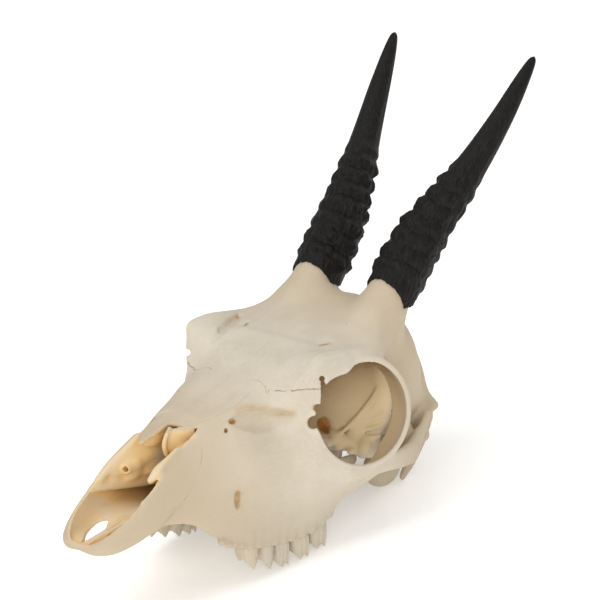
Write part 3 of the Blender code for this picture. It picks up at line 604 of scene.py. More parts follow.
# %% The wall behind the eye
WING_ROOT = [(10.6, 105, 31.2, 1.8), (12.4, 109.5, 30.2, 2.6), (14.6, 114.5, 28.2, 2.7),
             (17.0, 118.5, 26.4, 3.2), (20, 123.5, 25.4, 4.2)]
WALL_PLATE = [(21.6, 125.6, 43.5, 4.4), (20.6, 125.0, 37, 5.2), (19.0, 122.8, 30.5, 4.6)]
WALL_CREST = [(23.1, 122.7, 47.4, 0.4), (21.4, 122.0, 43.4, 0.6), (19.4, 120.8, 39.7, 0.75),
              (17.5, 118.0, 35.6, 0.8), (16.0, 114.6, 32.3, 0.75), (14.6, 111.6, 30.6, 0.5)]
WALL_KNOBS = [((13.0, 109.6, 27.4), 1.1), ((15.0, 112.6, 26.4), 1.3), ((18.4, 115.6, 25.0), 1.4)]
WALL_FOLDS = [[(18.4, 119.8, 35.4, 0.5), (21.0, 122.8, 38.6, 0.65), (23.4, 125.4, 41.6, 0.4)],
              [(18.0, 119.0, 33.2, 0.5), (21.2, 122.2, 35.4, 0.65), (24.0, 125.4, 37.4, 0.4)],
              [(17.8, 118.6, 31.0, 0.5), (21.4, 121.8, 32.4, 0.65), (24.2, 125.2, 33.6, 0.4)],
              [(18.4, 118.2, 29.0, 0.5), (21.6, 120.8, 29.4, 0.65), (24.0, 124.2, 29.8, 0.4)]]

bone.add(bone.rod(WING_ROOT), 1.6)
bone.add(bone.ball((20.6, 119.4, 25.6), (3.0, 2.8, 3.8), (0, 20, 0)), 1.0)
bone.add(bone.ball((16.6, 119.0, 32.0), (2.6, 2.4, 3.4)), 1.8)
for centre, radius in WALL_KNOBS:
    bone.add(bone.ball(centre, (radius, 1.3 * radius, radius)), 0.8)
bone.add(bone.rod(WALL_PLATE, (0.64, -0.73, 0.24), 3.0), 2.0)
bone.add(bone.rod(WALL_CREST), 1.0)
for fold in WALL_FOLDS:
    bone.add(bone.rod(fold), 2.0)
bone.cut(bone.ball((11.6, 108.2, 33.6), (3.0, 1.7, 3.6), (0, 15, 0)), 0.4)
bone.cut(bone.ball((13.0, 106.2, 35.6), (2.0, 1.6, 2.2)), 0.5)
print(len(WALL_FOLDS), "folds and", len(WALL_KNOBS), "knobs behind each eye")

# %% Notches in the front of the rim
RIM_NOTCHES = [
    ((33.2, 82.7, 56.3), (26.3, 90.4, 53.8), 0.95, 1.0, 0.4),
    ((33.4, 83.0, 54.8), (26.4, 90.8, 52.4), 1.1, 1.0, 0.4),
    ((32.6, 82.4, 59.7), (26.2, 89.7, 57.2), 0.95, 1.0, 0.3),
    ((33.0, 82.6, 57.9), (26.2, 90.2, 55.4), 0.8, 1.0, 0.4),
    ((32.0, 81.6, 49.4), (26.5, 87.6, 47.4), 1.1, 0.75, 0.4),
    ((30.5, 81.2, 44.2), (25.5, 86.6, 42.2), 1.7, 0.8, 0.5),
    ((31.6, 86.2, 39.6), (26.5, 91.0, 38.0), 0.9, 1.0, 0.6),
]
for outer_end, inner_end, radius, flatness, rounding in RIM_NOTCHES:
    bone.cut(bone.rod([(*outer_end, radius), (*inner_end, radius)], (0, 0, 1), flatness), rounding)
print("bone cells with sockets:", int((bone.cells < 0).sum()))

# %% [markdown]
# ## Underside and back of the head
#
# Behind the palate stand two wing plates, then the ear bulbs, the long points beside them and the two
# round knuckles that the neck turned on. Small cuts open the spinal canal, the brain hollow, the slots in
# the palate and the holes for nerves and tear ducts.

# %% Base, ear bulbs, points and knuckles
BASE = [(0, 126, 22, 4), (0, 140, 19, 5), (0, 152, 18, 6), (0, 159.5, 18.5, 6.5)]
EAR_TUBE = [(16, 139, 19, 4), (21.5, 143, 23.5, 3.2), (25, 145.5, 26.5, 2.8)]
EAR_POINT = [(18.4, 154.5, 30, 4.4), (18.2, 152.2, 22, 3.4), (17, 149.8, 14.5, 2.4), (15.2, 147.8, 8.7, 1.5)]
NECK_CREST = [(0, 160.4, 54.5, 2.2), (6, 159.6, 51, 1.9), (11.5, 158, 45, 1.7), (16.5, 156, 38.5, 1.6),
              (20.6, 156.8, 34.2, 1.8)]
WING_PLATE = [(7.5, 94, 13, 4), (7.8, 102, 14.5, 4.2), (8, 109, 16.2, 3.2), (8, 118, 16.9, 2.3),
              (8.6, 128, 17.2, 2.2)]

bone.add(bone.rod(BASE, (0, 0, 1), 1.7), 2)
bone.add(bone.ball((14.6, 137, 14.6), (5.8, 8.4, 7.6), (0, 6, 8)), 1.5)
bone.add(bone.rod(EAR_TUBE), 2)
bone.add(bone.rod(EAR_POINT, (0.9, 0.3, 0.1), 1.5), 2)
bone.add(bone.ball((7.6, 161, 21.8), (4.9, 5.4, 6.6), (-20, 0, 15)), 2)
bone.add(bone.rod(NECK_CREST), 2.5)
bone.add(bone.rod(WING_PLATE, (1, 0, 0), 3.2), 1.5)
print("base, ear bulbs, points, knuckles, crest and wing plates added")

# %% Knobs of the empty tooth place and ribs over the roots
EMPTY_SOCKET_KNOBS = [((20.4, 48.6, 7.0), 1.3), ((21.2, 51.0, 5.8), 1.3), ((22.0, 53.6, 4.9), 1.1),
                      ((22.9, 56.2, 4.3), 1.0)]
ROOT_PLACES = [(24.0, 59.0, 4.2), (24.7, 62.6, 3.9), (25.3, 66.2, 3.8), (25.9, 69.4, 3.7), (26.6, 72.8, 3.7),
               (27.2, 76.2, 3.9), (27.9, 80.8, 4.4), (28.3, 85.0, 5.2), (28.3, 90.0, 6.6), (28.0, 94.2, 8.6)]

for centre, radius in EMPTY_SOCKET_KNOBS:
    bone.add(bone.ball(centre, (radius, 1.2 * radius, radius)), 0.9)
for number, (x, y, z) in enumerate(ROOT_PLACES):
    height = 4.0 + 1.5 * math.sin(2.3 * number)
    bone.add(bone.rod([(x - 0.3, y, z + 0.1, 0.9), (x - 0.8, y + 0.4, z + height, 0.4)]), 2.2)
    bone.add(bone.ball((x - 0.5, y, z - 0.2 + 0.3 * math.sin(4.1 * number)), (0.9, 1.2, 0.9)), 0.7)
print(len(EMPTY_SOCKET_KNOBS), "knobs and", len(ROOT_PLACES), "ribs along each gum")

# %% Canals and holes
SPINAL_CANAL = [(0, 172, 25.5, 6.8), (0, 162, 28.5, 7.2), (0, 150, 35, 10)]
PALATE_SLOT = [(0.9, 4.8, 10.2, 0.7), (2.9, 9.6, 10.8, 1.9), (5.4, 14.2, 11.4, 2.7), (6.8, 18.6, 12.0, 2.5),
               (6.7, 20.6, 12.4, 1.9)]
PALATE_BAR = [(0.5, 4.2, 10.6, 0.9), (0.6, 10, 12.0, 0.7), (0.8, 17, 13.5, 0.8), (1.4, 24, 15.0, 1.2)]
THROAT = [(0, 90, 15, 5.5), (0, 104, 17, 5.8), (0, 114, 19, 4.5)]
CHEEK_HOLE = [(21.5, 54.6, 18.2, 0.7), (21.2, 54.8, 20.4, 1.15), (20.9, 55.1, 22.8, 0.7)]
TEAR_HOLES = [((14.6, 58.2, 45.6), (1.3, 1.3, 0.9), (0, 0, 0)),
              ((14.9, 59.4, 45.9), (1.1, 1.1, 0.8), (20, 0, 0)),
              ((14.2, 55.4, 42.9), (1.0, 0.7, 0.9), (0, 0, 0))]
BROW_SLIT = [(17.4, 98.0, 65.9, 0.5), (19.0, 101.8, 66.4, 0.8)]

bone.cut(bone.rod(SPINAL_CANAL), 1)
bone.cut(bone.ball((0, 137, 47), (19, 19, 18)), 1)
bone.cut(bone.ball((0, 147, 43), (13, 12, 14)), 1)
bone.cut(bone.rod(PALATE_SLOT), 0.4)
bone.add(bone.rod(PALATE_BAR), 0.6)
bone.cut(bone.rod(THROAT), 0.8)
bone.cut(bone.rod(CHEEK_HOLE), 0.3)
for centre, radii, turn_degrees in TEAR_HOLES:
    bone.cut(bone.ball(centre, radii, turn_degrees), 0.3)
bone.cut(bone.rod(BROW_SLIT), 0.4)
bone.cut(bone.ball((21.0, 89.9, 65.4), (0.7, 0.7, 1.2)), 0.3)
print("bone cells with its holes:", int((bone.cells < 0).sum()))

# %% [markdown]
# ## Both halves, and what isn't the same on both
#
# The field is mirrored to make the right half. The free ends of the two nasal bones come after that,
# because the left one ends short while the right one runs out to a point. They are one thin plate: an
# outline in plan, pushed up onto an arched slope. A leaf of thin bone hangs under each of them.

# %% The nasal bones' free ends
NASAL_PLAN = [(10.5, 57), (9.6, 48.5), (8.3, 45), (4.5, 43.6), (0.6, 42.8), (0.6, 38), (0.2, 31),
              (-0.7, 29.6), (-2.5, 31), (-5, 36), (-7.5, 42), (-9.6, 48), (-10.5, 57)]
NASAL_TIP_Y = 29.5
NASAL_TIP_Z = 40.2
NASAL_SLOPE = 0.325
NASAL_ARCH = 0.020
NASAL_THICKNESS = 1.1

whole = bone.mirrored()


def plan_distance(x, y, outline):
    """How far points in plan are from an outline, negative inside it."""
    nearest = np.full(np.broadcast(x, y).shape, FAR_FROM_ALL)
    inside = np.zeros(nearest.shape, dtype=bool)
    for (x0, y0), (x1, y1) in zip(outline, outline[1:] + outline[:1]):
        share = ((x - x0) * (x1 - x0) + (y - y0) * (y1 - y0)) / ((x1 - x0) ** 2 + (y1 - y0) ** 2)
        share = np.clip(share, 0, 1)
        nearest = np.minimum(nearest, np.hypot(x - x0 - share * (x1 - x0), y - y0 - share * (y1 - y0)))
        inside ^= ((y0 > y) != (y1 > y)) & (x < (x1 - x0) * (y - y0) / (y1 - y0 + 1e-12) + x0)
    return np.where(inside, -nearest, nearest)


def nasal_height(x, y):
    """How high the nasal bones stand over a place in plan."""
    return NASAL_TIP_Z + NASAL_SLOPE * (y - NASAL_TIP_Y) - NASAL_ARCH * x ** 2


part, x, y, z = whole.window((-11, 30, 34), (11, 57, 52))
slab = np.abs(z - nasal_height(x, y)) * 0.93 - NASAL_THICKNESS / 2
plate = np.maximum(slab, plan_distance(x, y, NASAL_PLAN))
whole.add((part, plate.astype(np.float32)), 0.6)
print("nasal plate", NASAL_THICKNESS, "mm thick")

# %% What only one side shows
LEFT_LEAF_EDGE = [(3.1, 40.2, 44.2, 0.7), (2.8, 38.8, 41.2, 0.8), (2.8, 38.2, 38.4, 0.9),
                  (3.1, 39.0, 35.4, 0.8)]
LEFT_NOSE_RIM = [(9.2, 25.4, 30.6, 1.2), (9.5, 28.6, 33.2, 1.8), (9.5, 33, 35.2, 1.8), (9.3, 37.6, 38.0, 1.3)]
RIGHT_NOSE_RIM = [(-10.8, 22.0, 27.4, 1.2), (-10.6, 27, 30.8, 1.9), (-10.2, 32, 34.0, 2.1),
                  (-9.6, 38, 38.2, 1.8)]
RIGHT_SCROLL = [(-9.8, 28.0, 28.6, 1.8), (-9.0, 34, 32.4, 2.6), (-8.4, 42, 36.6, 2.8), (-8.0, 48, 39, 2.6)]
RIGHT_SCROLL_END = [(-6.6, 30.2, 30.0, 1.8), (-7.0, 34, 30.4, 2.3)]
RIGHT_SCROLL_BORE = [(-5.6, 26, 30.2, 0.95), (-6.6, 31.4, 30.1, 0.95)]
RIGHT_BROW_GROOVE = [(-25.6, 104.4, 66.7, 0.9), (-23.6, 98.6, 65.9, 1.4), (-21.0, 92.7, 65.6, 1.5),
                     (-19.0, 87.4, 64.9, 1.3), (-18.4, 83.6, 63.6, 0.9)]
RIGHT_BROW_NOTCH = [(-25.2, 78.3, 57.9, 0.9), (-36.0, 90.3, 54.0, 2.6)]

whole.add(whole.ball((5.8, 43.4, 39.6), (0.8, 6.4, 5.2), (0, 0, -42)), 0.5)
whole.add(whole.rod(LEFT_LEAF_EDGE), 0.6)
whole.add(whole.ball((-0.5, 40.5, 41.6), (0.7, 8.6, 3.0), (17, 0, -3)), 0.5)
whole.add(whole.rod(LEFT_NOSE_RIM), 1.2)
whole.add(whole.rod(RIGHT_NOSE_RIM), 2.2)
whole.add(whole.rod(RIGHT_SCROLL), 2.4)
whole.add(whole.rod(RIGHT_SCROLL_END), 1.0)
whole.cut(whole.rod(RIGHT_SCROLL_BORE), 0.3)
whole.add(whole.ball((-28.8, 97.0, 65.2), (2.8, 15.0, 3.0), (-2, 0, 0)), 3.5)
whole.cut(whole.rod(RIGHT_BROW_GROOVE), 1.2)
whole.cut(whole.rod(RIGHT_BROW_NOTCH), 0.3)
print("leaves, the far scroll's end, and the groove and notch of the far brow")

# %% [markdown]
# ## From field to mesh
#
# OpenVDB draws four-sided faces where the field is zero. The grid is fine enough for thin walls, so it
# gives far more faces than the smooth parts need: a Decimate modifier takes those away and keeps the
# bends. The modifier's result becomes the plain mesh of the finished piece, and the helper that does this
# works for any mesh and any modifier, so the horns and teeth use it too.

# %% Meshing
BONE_TRIANGLES = 190000


def mesh_of(form, name):
    """The surface of a field, closed at the grid's edge, as a mesh in the skull's frame in millimetres."""
    cells = np.full_like(form.cells, BAND)
    inner = (slice(1, -1),) * 3
    cells[inner] = form.cells[inner]
    field = openvdb.FloatGrid(BAND)
    field.copyFromArray(np.clip(cells, -BAND, BAND))
    field.transform = openvdb.createLinearTransform(voxelSize=GRAIN)
    points, quads = field.convertToQuads(isovalue=0.0)
    mesh = bpy.data.meshes.new(name)
    mesh.from_pydata((points + form.low).tolist(), [], quads.tolist())
    mesh.update()
    return mesh


def settle(item):
    """Make the result of an object's modifiers its plain mesh."""
    evaluated = item.evaluated_get(bpy.context.evaluated_depsgraph_get())
    item.data = bpy.data.meshes.new_from_object(evaluated)
    item.modifiers.clear()
    item.data.name = item.name


skull = linked("skull_bone", mesh_of(whole, "skull bone"))
quads = len(skull.data.polygons)
skull.modifiers.new("thin out", "DECIMATE").ratio = BONE_TRIANGLES / (2.0 * quads)
settle(skull)
print(quads, "quads thinned to", len(skull.data.polygons), "faces")

# %% [markdown]
# ## What the surface knows about itself
#
# The colour is painted darker where shade falls: in hollows that bone closes in, and under the roofs of the
# eye sockets. Inside the nose the bone turns honey and orange, and it is palest on thin edges. The field
# already knows all that, so each point of the mesh asks it once and keeps the answers as attributes, which
# the material reads later. Stains, and painted shade in notches, a hole and the hollow before the eye,
# follow lines of points, as seams do, and each mesh point keeps how near the nearest line is. A seam also
# needs to know its two sides.

# %% Hollows, edges and insides
def keep(item, name, values):
    """Store one number for each point of an object's mesh."""
    layer = item.data.attributes.new(name, "FLOAT", "POINT")
    layer.data.foreach_set("value", np.asarray(values, dtype=np.float32))


def between(values, low, high):
    """0 below low, 1 above high and a straight rise between, for arrays."""
    return np.clip((values - low) / (high - low), 0, 1)


def vertex_values(item, name):
    """Three numbers for each point of an object's mesh, such as its place."""
    values = np.empty((len(item.data.vertices), 3))
    item.data.vertices.foreach_get(name, values.ravel())
    return values


LOOK_OUT = 3.0
LOOK_IN = 1.5

spots = vertex_values(skull, "co")
normals = vertex_values(skull, "normal")
folded = np.abs(spots) * (1, 0, 0) + spots * (0, 1, 1)
# How closed in by bone each point is; the material paints shade in hollows from it.
hollow = np.clip(1 - whole.near(spots + normals * LOOK_OUT) / LOOK_OUT, 0, 1.5)
edge = np.clip(1 + whole.near(spots - normals * LOOK_IN) / LOOK_IN, 0, 1)
print("mean hollow", hollow.mean().round(3), "mean edge", edge.mean().round(3))

# %% Inside the nose and the sockets
nose_field = Bone(bone.low, nose_hollow[1])
in_nose = between(-nose_field.near(folded), -1.0, -0.2)
on_top = (normals[:, 2] > 0.1) & (spots[:, 2] > nasal_height(spots[:, 0], spots[:, 1]) - 0.2)
in_nose[on_top & (spots[:, 1] < 60)] = 0
from_socket = np.linalg.norm(folded - socket_centre, axis=1)
behind_rim = -((folded - np.array(SOCKET_RIM)) @ np.array(socket_out))
to_eye = (socket_centre - folded) / from_socket[:, None]
faces_eye = between((to_eye * normals * np.where(spots < 0, (-1, 1, 1), 1)).sum(axis=1), 0.0, 0.5)
in_socket = between(-from_socket, -socket_radius - 6, -socket_radius - 3)
in_socket = in_socket * between(behind_rim, 0.5, 5) * faces_eye
# Painted shade under the roof of each socket: a share that grows towards its top and front.
roof = between(spots[:, 2] - 0.9 * (spots[:, 1] - BAR_STARTS_BACK), 27, 50) * in_socket
known = {"hollow": hollow, "edge": edge, "in_nose": in_nose, "in_socket": in_socket, "roof": roof}
for name, values in known.items():
    keep(skull, name, values)
print("share in the nose", in_nose.mean().round(3), "and in the sockets", in_socket.mean().round(3))

# %% Stains and painted shade along lines
LEFT_STAINS_AND_SHADE = [
    # The first three paint the shade under the ridge over the hollow before the eye, with the stain there.
    (0.30, 4.6, [(15.0, 61.6, 48.4), (17.6, 69.8, 47.2), (22.4, 77.0, 46.0)]),
    (0.40, 3.2, [(14.9, 61.2, 49.0), (16.4, 65.6, 49.0), (18.4, 70.0, 48.0)]),
    (0.42, 3.2, [(18.2, 70.6, 47.0), (20.4, 75.0, 46.2), (23.0, 78.2, 46.4)]),
    (1.0, 1.5, [(14.3, 58.2, 45.4), (14.8, 59.4, 45.6)]),
    (1.0, 1.2, [(14.0, 55.4, 42.8), (14.2, 55.6, 42.9)]),
    (0.60, 2.0, [(21.2, 55.0, 18.4), (20.9, 55.2, 20.5), (20.7, 55.4, 22.7)]),
    # Painted shade in the hole of the wall behind the eye, with its orange-brown.
    (1.0, 4.4, [(11.2, 109.2, 34.0), (9.8, 110.0, 33.6)]),
    (0.35, 1.8, [(15.6, 33.8, 22.5), (15.2, 29.6, 19.6), (14.4, 25.5, 16.0)]),
    (0.55, 3.4, [(14.2, 101.0, 36.0), (13.2, 105.0, 33.0), (14.6, 108.0, 31.0)]),
    # These three paint the shade in the notches of the rim, with their brown.
    (0.7, 1.4, [(30.0, 85.2, 58.4), (28.0, 87.4, 57.6)]),
    (0.9, 1.6, [(29.5, 83.2, 48.8), (27.0, 85.8, 47.8)]),
    (1.0, 2.4, [(28.5, 83.0, 43.4), (26.0, 85.4, 42.4)]),
    (0.7, 0.9, [(17.6, 98.4, 65.6), (18.9, 101.6, 66.0)]),
    (0.35, 2.0, [(16.0, 126.0, 21.0), (30.0, 134.0, 26.0)]),
]


def line_distance(points, line):
    """How far points are from a bent line."""
    best = np.full(len(points), FAR_FROM_ALL)
    line = np.asarray(line, dtype=float)
    for start, end in zip(line[:-1], line[1:]):
        step = end - start
        share = np.clip((points - start) @ step / (step @ step), 0, 1)
        best = np.minimum(best, np.linalg.norm(points - start - share[:, None] * step, axis=1))
    return best


RIGHT_STAINS = [(0.8, 1.1, [(-25.8, 104.2, 66.4), (-23.8, 99.0, 65.6), (-22.4, 96.0, 65.4)])]
stain = np.zeros(len(spots))
for places, lines in ((folded, LEFT_STAINS_AND_SHADE), (spots, RIGHT_STAINS)):
    for strength, reach, line in lines:
        stain = np.maximum(stain, strength * between(-line_distance(places, line), -reach, -0.3 * reach))
keep(skull, "stain", stain)
print("stained points:", int((stain > 0.2).sum()))

# %% Seams between bones
LEFT_SEAMS = [
    (0.35, [(8.5, 73.0, 56.2), (11.2, 74.0, 56.2), (13.4, 74.0, 55.4), (15.4, 73.6, 54.8), (16.4, 72.9, 53.9),
            (17.0, 71.6, 52.8)]),
    (0.75, [(16.2, 73.4, 54.2), (18.6, 74.6, 54.1), (24.4, 77.3, 54.8), (28.1, 80.7, 55.5),
            (29.7, 83.5, 55.2)]),
    (0.4, [(12.7, 45.9, 39.5), (14.4, 43.8, 34.1), (15.2, 40.7, 30.0), (15.7, 38.0, 26.2), (15.6, 33.8, 22.5),
           (15.2, 29.6, 19.6), (14.2, 25.0, 15.4)]),
    (0.25, [(9.0, 48.0, 45.8), (10.6, 51.7, 46.9), (11.6, 56.0, 48.2), (12.8, 62.0, 50.4),
            (13.0, 70.0, 54.2)]),
    (0.3, [(18.8, 99.1, 66.2), (17.6, 96.0, 65.6), (15.5, 89.0, 63.6), (14.0, 82.0, 60.6)]),
    (0.4, [(19.0, 109.4, 69.8), (17.2, 112.6, 70.9)]),
    (0.3, [(22.0, 150.5, 56.0), (14.0, 152.5, 61.5), (7.0, 153.5, 64.3), (0.0, 152.0, 65.6)]),
    (0.3, [(33.5, 94.5, 34.0), (34.6, 95.4, 29.0), (35.8, 99.0, 24.0), (35.4, 104.0, 20.5)]),
    (0.3, [(36.6, 118.0, 29.0), (37.6, 121.0, 25.6), (36.4, 124.0, 22.6)]),
]
MIDDLE_SEAM = (0.25, [(0.3, 50.0, 47.2), (-0.2, 60.0, 50.8), (0.2, 75.0, 57.0), (0.0, 90.0, 63.4),
                      (0.3, 112.0, 70.4)])
SEAM_REACH = 2.0
SEAM_FAR = 9.0
SEAM_WANDER = np.array([0.4, 0.5, 0.6])


def seam_marks(points, facing, seams):
    """Signed distance from the nearest seam, and that seam's strength where it is near."""
    best = np.full(len(points), SEAM_FAR)
    signed = best.copy()
    strengths = np.zeros(len(points))
    for strength, seam in seams:
        line = smooth_rows(seam, 5)
        line = line + 0.3 * np.sin(np.arange(len(line)) * 2.3)[:, None] * SEAM_WANDER
        for start, end in zip(line[:-1], line[1:]):
            step = end - start
            share = np.clip((points - start) @ step / (step @ step), 0, 1)
            off = points - start - share[:, None] * step
            distance = np.linalg.norm(off, axis=1)
            side = np.sign(np.einsum("ij,ij->i", np.cross(step, facing), off))
            closer = distance < best
            best = np.where(closer, distance, best)
            signed = np.where(closer, side * distance, signed)
            strengths = np.where(closer, strength, strengths)
    return signed, strengths * between(-best, -SEAM_REACH, 0)


right_seams = [(strength, [(-x, y, z) for x, y, z in seam]) for strength, seam in LEFT_SEAMS]
seam_side, seam_near = seam_marks(spots, normals, LEFT_SEAMS + right_seams + [MIDDLE_SEAM])
keep(skull, "seam_side", seam_side)
keep(skull, "seam_near", seam_near)
print("points near a seam:", int((seam_near > 0.1).sum()))

# %% [markdown]
# ## The bone's finish
#
# The bone is cream, paler and greyer on the brow and warmer on the snout and towards the back, with faint
# blotches, fine pores and drawn-out grain. Inside the nose it runs from honey yellow to orange. Painted shade
# darkens it under the sockets' roofs, where it is dark tan, in hollows, where it is light brown, and towards
# the bottom of the skull. Object coordinates hold the patterns still, and the attributes of the last step
# place the stains, the painted shade and the seams. A colour ramp turns one number into the colour of a
# stain or of painted shade.

# %% Bone material
def new_material(name):
    """A material with an empty tree, and the wire that its nodes start from."""
    material = bpy.data.materials.new(name)
    material.use_nodes = True
    material.node_tree.nodes.clear()
    return material, Wire(material.node_tree)


def finish(start, colour, roughness, height, bump, **constants):
    """Close a material: one shader, its surface relief in metres, and the output."""
    relief = start.node("ShaderNodeBump", None, {"Strength": 1.0, "Distance": bump, "Height": height})
    values = {"Base Color": colour, "Roughness": roughness, "Normal": relief}
    values.update({name.replace("_", " "): value for name, value in constants.items()})
    shader = start.node("ShaderNodeBsdfPrincipled", None, values)
    start.node("ShaderNodeOutputMaterial", None, {"Surface": shader})


def attribute(start, name):
    """A number that the mesh keeps for each point."""
    return start.node("ShaderNodeAttribute", {"attribute_name": name}, None, 2)


def ramp(share, stops):
    """The colour at a share of the way through stops."""
    return share.node("ShaderNodeValToRGB", {"stops": stops}, {0: share})


def painted(colour, coats):
    """A colour under coats of other colours, each with the share that it covers."""
    for coat, share in coats:
        colour = share.mix(colour, coat, share)
    return colour


CREAM = (0.60, 0.53, 0.42, 1)
PALE_CREAM = (0.68, 0.62, 0.51, 1)
GREY_CREAM = (0.56, 0.51, 0.42, 1)
WARM_CREAM = (0.53, 0.42, 0.285, 1)
UNDERSIDE_SHADE_BROWN = (0.42, 0.35, 0.25, 1)
HONEY = (0.79, 0.56, 0.27, 1)
ORANGE = (0.66, 0.39, 0.13, 1)
DEEP_ORANGE = (0.46, 0.20, 0.045, 1)
SOCKET_CREAM = (0.72, 0.56, 0.32, 1)
ROOF_SHADE_TAN = (0.20, 0.105, 0.035, 1)
LIGHT_BROWN = (0.50, 0.39, 0.24, 1)
ORANGE_BROWN = (0.36, 0.17, 0.05, 1)
SEAM_BROWN = (0.28, 0.17, 0.09, 1)
BONE_RELIEF = 0.00014

bone_look, start = new_material("old bone")
place = start.node("ShaderNodeTexCoord").out("Object") * (1 / MM)
place_parts = start.node("ShaderNodeSeparateXYZ", None, {0: place})
along_head, up_head = place_parts.out("Y"), place_parts.out("Z")
hollowness = attribute(start, "hollow")
clouds = place.noise(0.045, 3, 0.55)
mottle = place.noise(0.22, 4, 0.6)
specks = place.noise(1.6, 2, 0.5)
grain = (place * (1.0, 0.18, 1.0)).noise(1.1, 3, 0.55)
deep = hollowness.ease(0.15, 0.95)
inside = ramp(0.5 * hollowness + 0.5 * clouds, [(0.1, PALE_CREAM), (0.4, HONEY), (0.9, ORANGE)])
seam_side = attribute(start, "seam_side") + (place.noise(1.4, 2) - 0.5) * 0.6
seam_line = 1 - seam_side.number("ABSOLUTE").ease(0.04, 0.24)
seam_line = seam_line * attribute(start, "seam_near").ease(0.0, 0.8) * place.noise(0.35, 2).ease(0.32, 0.52)
stain = (attribute(start, "stain") * (0.35 + 1.3 * mottle)).number("MINIMUM", 1.0)
stain_and_shade_colour = ramp(stain, [(0.4, LIGHT_BROWN), (0.75, ORANGE_BROWN), (1.0, DEEP_ORANGE)])
pores = (1 - place.noise(2.6, 2, 0.5).ease(0.24, 0.34)) * mottle.ease(0.45, 0.6)
colour = painted(CREAM, [
    (GREY_CREAM, up_head.ease(48, 80) * 0.6),
    (PALE_CREAM, clouds.ease(0.38, 0.62) * 0.55),
    (GREY_CREAM, mottle.ease(0.50, 0.72) * 0.28),
    (PALE_CREAM, grain.ease(0.46, 0.66) * 0.3),
    (PALE_CREAM, attribute(start, "edge").ease(0.2, 0.9) * 0.6),
    (WARM_CREAM, (1 - along_head.ease(-75, -20)) * 0.85),
    (WARM_CREAM, along_head.ease(-5, 30) * 0.7),
    # Painted shade: browner towards the bottom of the skull.
    (UNDERSIDE_SHADE_BROWN, (1 - up_head.ease(2, 34)) * 0.75),
    (WARM_CREAM, specks.ease(0.60, 0.75) * 0.2),
    # Painted shade in hollows, light brown, with a little mottling.
    (LIGHT_BROWN, deep * (0.22 + 0.25 * mottle.ease(0.4, 0.7))),
    (inside, attribute(start, "in_nose") * 0.95),
    (SOCKET_CREAM, attribute(start, "in_socket") * 0.8),
    # Painted shade: dark tan under the roof of each eye socket.
    (ROOF_SHADE_TAN, attribute(start, "roof") * (0.85 + 0.1 * mottle.ease(0.4, 0.65))),
    (SEAM_BROWN, seam_line),
    # Stains, with painted shade in the rim's notches, the hole in the socket wall and under the ridge before
    # the eye.
    (stain_and_shade_colour, stain.ease(0.0, 0.65)),
    (LIGHT_BROWN, pores * 0.35)])
height = grain * 0.4 + mottle * 0.8 + specks * 0.2 - pores * 0.5 - seam_line * 1.6
finish(start, colour, 0.55 + 0.12 * mottle + 0.1 * deep, height, BONE_RELIEF, Specular_IOR_Level=0.3)
skull.data.materials.append(bone_look)
skull.data.shade_smooth()
skull.data.transform(stand_from_mm)
print("bone nodes:", len(bone_look.node_tree.nodes))

# %% [markdown]
# ## The horn sheaths
#
# A horn sheath is a curved, hollow cone of horn. Growth rings swell its lower half, each one steep below
# and drawn out above, its edge runs in two arches with a point on each side, and its tip is smooth. All of
# that follows rules along one line, so it is a Geometry Nodes tree: a flat grid whose rows are wrapped
# round the line, first up inside the hollow and down to the edge, then up the outside to the tip. The same
# tree makes both horns from two lines, and keeps for the material how far up the horn each point is.

# %% The line of each horn
HORN_LINE = [(17.0, 134.2, 76.5), (18.4, 147.7, 95.0), (23.6, 163.7, 115.0), (28.4, 177.6, 135.3),
             (32.0, 190.6, 156.9)]
HORN_PROFILE = [(0, 8.9), (0.125, 9.0), (0.25, 8.3), (0.375, 7.1), (0.5, 5.9), (0.625, 4.9), (0.75, 4.0),
                (0.875, 2.95), (0.94, 2.2), (0.975, 1.6), (0.992, 1.0), (1, 0.1)]


def horn_guide(side):
    """A line of points up the middle of a horn, each with the horn's radius there."""
    line = smooth_rows(HORN_LINE, 70)
    travelled = np.concatenate([[0], np.cumsum(np.linalg.norm(np.diff(line, axis=0), axis=1))])
    share, radius = smooth_rows(HORN_PROFILE, 6).T
    radii = np.interp(travelled / travelled[-1], share, radius)
    mesh = bpy.data.meshes.new("horn line")
    mesh.from_pydata((line * (side, 1, 1)).tolist(), [(i, i + 1) for i in range(len(line) - 1)], [])
    mesh.attributes.new("thickness", "FLOAT", "POINT").data.foreach_set("value", radii.astype(np.float32))
    return mesh


guides = {"left": horn_guide(1), "right": horn_guide(-1)}
print("points up each horn:", len(guides["left"].vertices))


# %% Helpers for the trees of horns and teeth
def new_tree(name, counts, sizes):
    """A Geometry Nodes tree that takes whole numbers, sizes and a material, and the wire of its inputs."""
    tree = bpy.data.node_groups.new(name, "GeometryNodeTree")
    tree.interface.new_socket("Geometry", in_out="OUTPUT", socket_type="NodeSocketGeometry")
    sockets = [("Geometry", "Geometry"), *((title, "Int") for title in counts),
               *((title, "Float") for title in sizes), ("Material", "Material")]
    for title, kind in sockets:
        tree.interface.new_socket(title, in_out="INPUT", socket_type="NodeSocket" + kind)
    return tree, Wire(tree).node("NodeGroupInput")


def flat_grid(given, rows, sides):
    """A grid to wrap round something, each point's share of the way through its rows, and its angle."""
    grid = given.node("GeometryNodeMeshGrid", None,
                      {"Size X": 1.0, "Size Y": 1.0, "Vertices X": rows, "Vertices Y": sides})
    parts = given.node("ShaderNodeSeparateXYZ", None, {0: given.node("GeometryNodeInputPosition")})
    return grid, parts.out("X") + 0.5, (parts.out("Y") + 0.5) * (2 * math.pi)


